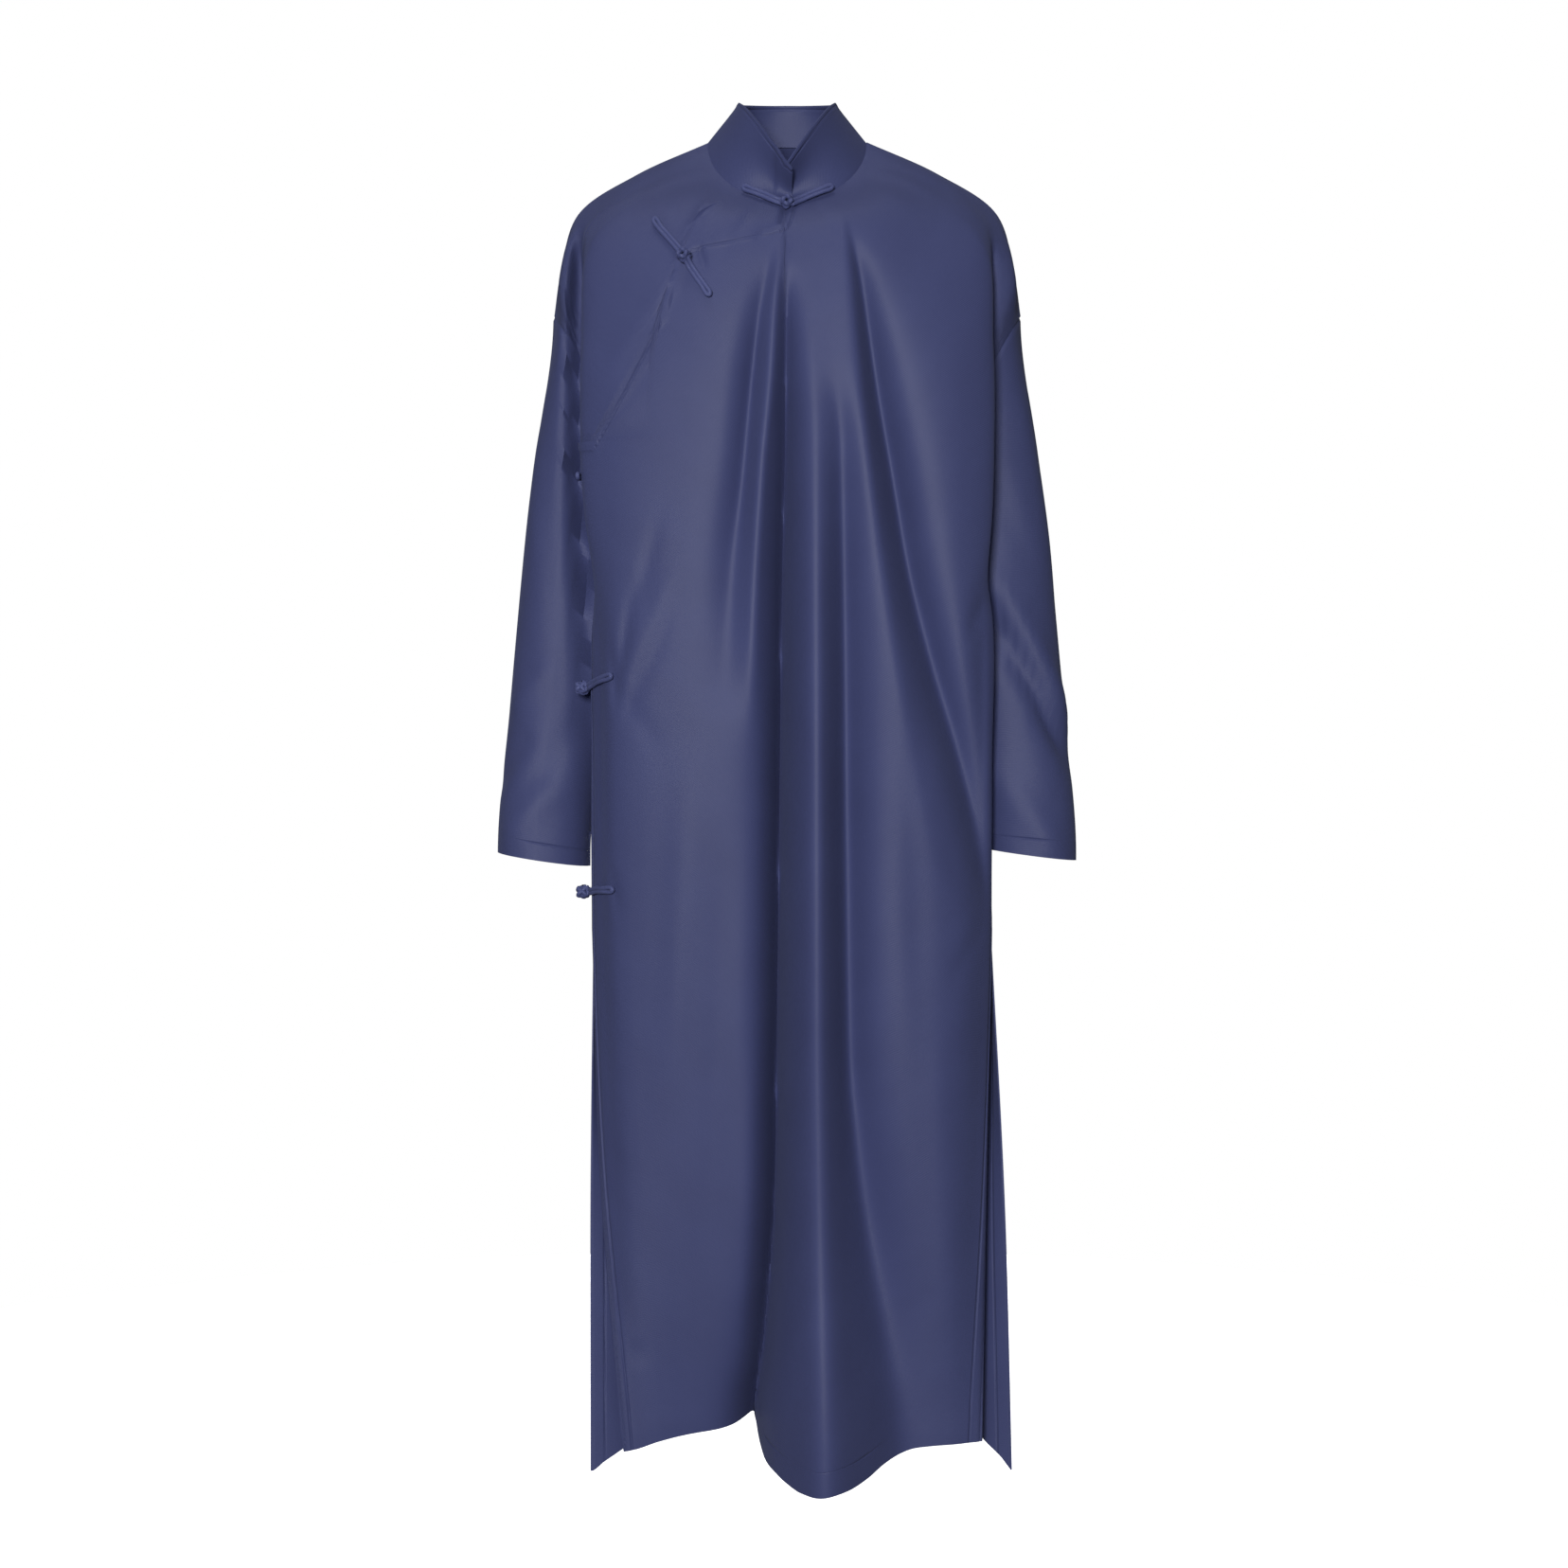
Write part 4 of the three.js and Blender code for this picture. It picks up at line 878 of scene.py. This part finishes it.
sleeveFolds = {
    1: [[128, -445, 30, -600, -12, 14], [118, -426, 22, -572, 8, 17], [150, -610, 60, -700, 3, 15],
        [40, -250, 20, -420, 2, 14], [96, -330, 60, -420, -2.4, 12], [110, -500, 70, -560, 3, 12],
        [-40, -380, -100, -470, -3, 13], [-60, -560, -120, -640, -3, 14], [-30, -620, -90, -690, 2.4, 13]],
    -1: [[60, -590, 10, -640, -3, 11], [100, -640, 40, -690, 3, 13], [130, -560, 70, -640, -2.5, 12],
         [20, -300, 60, -470, 2, 15], [80, -520, 30, -560, 2.4, 10], [-40, -400, -110, -500, -3, 14],
         [-50, -590, -110, -660, -3, 13]],
}
sleeves = {}
for side, name in ((1, "left_sleeve"), (-1, "right_sleeve")):
    made = sleeveSheet(side, sleeveFolds[side])
    shift = np.zeros((len(made["places"]), 3))
    seam = made["grid"][0]
    shift[seam] = (0, 0, form["seamTuck"]) - made["normals"][seam] * sleeveLook["tuckIn"]
    outBy, downBy = sleeveLook["corner"]
    shift[seam[[0, -1]]] = (side * outBy, 0, downBy)
    cells = np.ones((sleeveLook["rows"], len(seam) - 1), bool)
    sleeves[side] = makeWall(name, made, cells, cotton, move=shift,
                             bands=[(made["rows"][-1], sleeveLook["cuffBand"])])

# The collar stands on the neck opening and leans in to its rim; its right end laps over its left end.
collarLook = {
    "thickness": 2.0,
    "ends": (-1.5, 365),  # in degrees round the neck, so that the right end laps over the left
    "lapRises": (345, 352),
    "below": 0.06,  # how far it reaches down behind the panels, as a share of its height
    "columns": 240,
    "rows": 24,
    "rimBand": (4, 0.4),
}
angles = np.linspace(*collarLook["ends"], collarLook["columns"] + 1)
lapOut = smoothstep(angles, *collarLook["lapRises"])[:, None] * (collarLook["thickness"] + 1)
outward = np.column_stack([np.sin(np.radians(angles)), -np.cos(np.radians(angles)), 0 * angles])
fromFront = (angles + 180) % 360 - 180
dent = form["collarDent"][0] * np.exp(-((fromFront / form["collarDent"][1]) ** 2))[:, None]
collarRows = []
for t in np.linspace(-collarLook["below"], 1, collarLook["rows"] + 1):
    # The dent is deepest a third of the way up.
    sink = 19 * max(t, 0) * (1 - max(t, 0)) ** 2
    straight = neckPoints(angles) * (1 - t) + rimPoints(angles) * t
    collarRows.append(straight + (lapOut - dent * sink) * outward)
cells = np.ones((collarLook["rows"], collarLook["columns"]), bool)
collar = makeWall("stand_collar", makeSheet(collarRows, -1), cells, cotton, thickness=collarLook["thickness"],
                  bands=[(collarRows[-1], collarLook["rimBand"])])
print("stage: sleeves and collar")


# Knotted fasteners: cords laid in pairs on the cloth, with a ball of interlaced cord.
frogLook = {
    "cord": 2.2,  # its radius, and the next value is the distance between the two strands of a pair
    "spacing": 3.5,
    "ball": 4.8,
    "ballCord": 2.1,
    "clear": 1.5,
    "loopPast": 3.2,  # how far the loop goes past the ball's middle, and the ball's own cord over it
    "cordPast": 4.4,
}


def placesAt(surface, u, z, lift, pulls=()):
    # Places on a panel at given heights, lifted off it, and the panel's normals there.
    u = np.array([*u], float)
    v = stationsAt(surface, u, lambda x: z, hem, pulls)
    near = 0.03
    across = pointsOn(surface, u + near, v, pulls) - pointsOn(surface, u - near, v, pulls)
    down = pointsOn(surface, u, v + near, pulls) - pointsOn(surface, u, v - near, pulls)
    normal = unit(np.cross(down, across)) * (1 if surface is front else -1)
    return pointsOn(surface, u, v, pulls) + normal * lift, normal


def tube(points, radius, sides=10, closed=False):
    # A round cord along points, closed over at its ends.
    points = np.asarray(points, float)
    ahead = np.gradient(points, axis=0) if not closed else np.roll(points, -1, 0) - np.roll(points, 1, 0)
    ahead = unit(ahead)
    side = np.cross(ahead[0], (0.3, 0.2, 1.0))
    rings = []
    for p, d in zip(points, ahead):
        side = unit(side - d * side.dot(d))
        up = np.cross(d, side)
        turn = np.linspace(0, 2 * math.pi, sides, endpoint=False)[:, None]
        rings.append(p + radius * (side * np.cos(turn) + up * np.sin(turn)))
    count = len(points)
    faces = []
    for i in range(count if closed else count - 1):
        a, b = i * sides, (i + 1) % count * sides
        for k in range(sides):
            n = (k + 1) % sides
            faces.append([a + k, a + n, b + n, b + k])
    places = np.concatenate(rings)
    if not closed:
        tip = radius * 0.6
        places = np.concatenate([places, [points[0] - ahead[0] * tip, points[-1] + ahead[-1] * tip]])
        for k in range(sides):
            n = (k + 1) % sides
            faces.append([len(places) - 2, n, k])
            faces.append([len(places) - 1, (count - 1) * sides + k, (count - 1) * sides + n])
    return places, faces


def joined(name, parts, material):
    places, faces, start = [], [], 0
    for p, f in parts:
        places.append(p)
        faces += [[k + start for k in face] for face in f]
        start += len(p)
    places = np.concatenate(places)
    mesh = bpy.data.meshes.new(name)
    mesh.from_pydata((places * millimetre).tolist(), [], faces)
    mesh.polygons.foreach_set("use_smooth", [True] * len(mesh.polygons))
    flat = np.column_stack([places[:, 0] + places[:, 1], places[:, 2]])
    addCoordinates(mesh, flat, np.full(len(places), farFromStitches))
    return addPiece(name, mesh, material)


def smoothLine(points, step=0.9):
    points = np.asarray(points)
    at = np.linspace(0, len(points) - 1, len(points) * 24)
    return densify(along(points, at), step)


def strandLine(places, normals, spacing, lifts):
    ahead = np.gradient(places, axis=0)
    side = unit(np.cross(ahead, normals))
    lifted = places + normals * np.array(lifts)[:, None]
    end = places[-1] + unit(places[-1] - places[-2]) * spacing * 0.55
    return np.concatenate([lifted + side * spacing / 2, [end], (lifted - side * spacing / 2)[::-1]])


def turksHead(centre, axis, radius):
    # Cord woven round a ball: three turns, four bights, over and under.
    s = np.linspace(0, 2 * math.pi, 150, endpoint=False)
    height = 0.92 * np.sin(4 * s)
    flat = np.sqrt(1 - (height * 0.8) ** 2)
    out = radius * (1 + 0.2 * np.cos(12 * s + 0.9))
    ball = np.column_stack([out * flat * np.cos(3 * s), out * flat * np.sin(3 * s), out * height])
    turn = np.array(Vector((0, 0, 1)).rotation_difference(Vector(axis)).to_matrix())
    return ball @ turn.T + centre


def pairOfCords(first, normal, places, normals, lifts):
    # A cord laid double, from a first place along the others and back.
    places, normals = np.concatenate([first, places]), np.concatenate([normal, normals])
    return tube(smoothLine(strandLine(places, normals, frogLook["spacing"], lifts)), frogLook["cord"])


def addFrog(name, loop, ball):
    loopPlaces, loopNormals = loop
    ballPlaces, ballNormals = ball
    knot, normal = loopPlaces[0], loopNormals[0]
    away = unit(loopPlaces[1] - knot)
    start = knot - away * frogLook["loopPast"]
    cord = pairOfCords([start, knot], [normal, normal], loopPlaces[1:], loopNormals[1:],
                       np.zeros(len(loopPlaces) + 1))
    loopPiece = joined(name + "_loop", [cord], cordCotton)
    lifts = np.zeros(len(ballPlaces))
    lifts[:2] = (frogLook["cord"] * 2 + 1.0, 0.9)
    cord = pairOfCords([knot - away * frogLook["cordPast"]], [normal], ballPlaces[1:], ballNormals[1:], lifts)
    centre = knot + normal * (frogLook["cord"] + frogLook["ball"] * 0.8)
    knotCord = tube(turksHead(centre, normal, frogLook["ball"]), frogLook["ballCord"], 8, True)
    return loopPiece, joined(name + "_ball", [cord, knotCord], cordCotton)


def laid(surface, rows, lifts, pulls=()):
    parts = [placesAt(surface, [u], z, lift, pulls) for (u, z), lift in zip(rows, lifts)]
    return np.concatenate([p for p, _ in parts]), np.concatenate([n for _, n in parts])


onOverlap = form["overlapRaise"] + frogLook["cord"] + frogLook["clear"]
onUnderlap = onOverlap - form["clothThickness"] - form["seamGap"]
onBack = frogLook["cord"] + frogLook["clear"]


def neckFrog(turns):
    # The neck's fastener lies on the collar's seam, with its knot a little lower than its ends.
    turns = np.array(turns, float)
    angles = np.radians(turns)
    normal = unit(np.column_stack([np.sin(angles), -np.cos(angles), np.full(len(turns), 0.15)]))
    overLap = np.where(turns < 6, smoothstep(turns, -15, -8), 1 - smoothstep(turns, 6, 12))
    lift = frogLook["cord"] + 1.4 + overLap * 3.4 + smoothstep(turns, 6, 24) * 2.2
    places = neckPoints(turns) + normal * lift[:, None]
    places[:, 2] += 5 - 9 * np.exp(-((turns / 12) ** 2))
    return places, normal


def sideFrog(name, z, rises):
    # One at the side: its loop is sewn on the overlap, and its ball's cord on the back panel.
    loopAt, backAt = (-4.8, -4, -3.3, -2.6, -2.1), (-3.85, -3.7, -3.5, -3.3)
    loop = laid(front, [[u, z + rise] for u, rise in zip(loopAt, rises)], [onOverlap] * 5, frontPulls)
    sewn = laid(back, [[u, z] for u in backAt], [onBack] * 4)
    ball = [np.concatenate([first[:1], second]) for first, second in zip(loop, sewn)]
    return addFrog(name, loop, ball)


frogs = {
    "neck": addFrog("neck_fastener", neckFrog([0, -8, -16, -23, -30]), neckFrog([0, 8, 16, 23, 30])),
    "chest": addFrog(
        "chest_fastener",
        laid(front, [[-1.3, -125], [-1.47, -114], [-1.68, -103], [-1.9, -93], [-2.12, -84]],
             [onOverlap, onUnderlap, onUnderlap, onUnderlap, onUnderlap], frontPulls),
        laid(front, [[-1.3, -125], [-1.19, -134], [-1.08, -143], [-0.97, -152], [-0.88, -161]],
             [onOverlap] * 5, frontPulls)),
    "armpit": addFrog(
        "armpit_fastener",
        laid(front, [[u, -332] for u in (-3.8, -3.6, -3.4, -3.15, -2.9)], [onOverlap] * 5),
        laid(front, [[u, -332] for u in (-3.8, -4, -4.2, -4.4, -4.6)], [onOverlap] * 5)),
    "waist": sideFrog("waist_fastener", -540, (0, 2, 5, 8, 11)),
    "hip": sideFrog("hip_fastener", -743, (0, 1, 3, 4, 5)),
}
print("stage: fasteners")


# What each piece stands for, and the cloth that it was cut from.
replaced = {
    frontPanel: "front_panel", underlap: "underlap", backPanel: "back_panel", sleeves[1]: "sleeve_left",
    sleeves[-1]: "sleeve_right", collar: "collar",
}
made = [(piece, node, "indigo_cotton") for piece, node in replaced.items()]
for name, (loopPiece, ballPiece) in frogs.items():
    made.append((loopPiece, name + "_frog_loop", "indigo_cord"))
    made.append((ballPiece, name + "_frog_ball", "indigo_cord"))
for piece, node, slot in made:
    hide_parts(node)
    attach(piece, "root")

areas = {piece.name: round(sum(p.area for p in piece.data.polygons) / 2, 4) for piece in replaced}
print("stage: areas of one layer", areas)

# Stage: a pale floor, a white room that adds no light of its own, soft lamps and the camera.
stageLook = {"floorZ": -1.5, "floorRadius": 1.9, "roomRadius": 14.0, "floorColour": "#f6f6f7",
             "wallColour": "#000000"}  # the wall only glows


def disc(name, radius, z, material):
    turn = np.linspace(0, 2 * math.pi, 96, endpoint=False)
    mesh = bpy.data.meshes.new(name)
    mesh.from_pydata([(radius * math.cos(a), radius * math.sin(a), z) for a in turn], [], [range(len(turn))])
    return addPiece(name, mesh, material)


def roomDome(name, radius, material):
    mesh = bpy.data.meshes.new(name)
    shape = bmesh.new()
    bmesh.ops.create_uvsphere(shape, u_segments=48, v_segments=24, radius=radius)
    shape.to_mesh(mesh)
    shape.free()
    return addPiece(name, mesh, material)


def whiteSurface(name, colour, specular, strength):
    material = bpy.data.materials.new(name)
    material.use_nodes = True
    shader = material.node_tree.nodes["Principled BSDF"]
    shader.inputs["Base Color"].default_value = linear(colour)
    shader.inputs["Roughness"].default_value = 0.9
    shader.inputs["Specular IOR Level"].default_value = specular
    shader.inputs["Emission Color"].default_value = (1, 1, 1, 1)
    shader.inputs["Emission Strength"].default_value = strength
    return material


paper = whiteSurface("white paper", stageLook["floorColour"], 0.5, 0.8)
wall = whiteSurface("white room wall", stageLook["wallColour"], 0, 1.0)
floor = disc("pale_floor", stageLook["floorRadius"], stageLook["floorZ"], paper)
room = roomDome("white_room", stageLook["roomRadius"], wall)
for piece in (floor, room):
    for flag in ("visible_diffuse", "visible_glossy", "visible_transmission", "visible_shadow"):
        setattr(piece, flag, False)
lamps = {
    "key": {"at": (-0.5, -4.4, -0.05), "size": 0.8, "power": 178, "aim": -0.76},
    "above": {"at": (-0.4, -0.6, 3.0), "size": 1.2, "power": 24, "aim": -0.6},
    "back": {"at": (0.1, 3.6, 0.1), "size": 1.2, "power": 84, "aim": -0.7},
}
for name, lamp in lamps.items():
    data = bpy.data.lights.new(name, "AREA")
    data.energy = lamp["power"]
    data.size = lamp["size"]
    light = bpy.data.objects.new(name, data)
    bpy.context.scene.collection.objects.link(light)
    light.location = lamp["at"]
    light.visible_camera = False
    aim = Vector((0, 0, lamp["aim"]))
    light.rotation_euler = (aim - light.location).to_track_quat("-Z", "Y").to_euler()
world = bpy.data.worlds.new("soft room light")
world.use_nodes = True
world.node_tree.nodes["Background"].inputs[0].default_value = linear("#f2f3f6")
world.node_tree.nodes["Background"].inputs[1].default_value = 0.11
bpy.context.scene.world = world
bpy.context.scene.view_settings.view_transform = "Standard"

cameraLook = {"height": -0.560, "aim": -0.637, "distance": 2.7, "lens": 61.2, "x": -0.003}
camera = bpy.data.objects.new("camera", bpy.data.cameras.new("camera"))
bpy.context.scene.collection.objects.link(camera)
camera.data.lens = cameraLook["lens"]
camera.location = (cameraLook["x"], -cameraLook["distance"], cameraLook["height"])
aim = Vector((cameraLook["x"], 0, cameraLook["aim"]))
camera.rotation_euler = (aim - camera.location).to_track_quat("-Z", "Y").to_euler()
bpy.context.scene.camera = camera
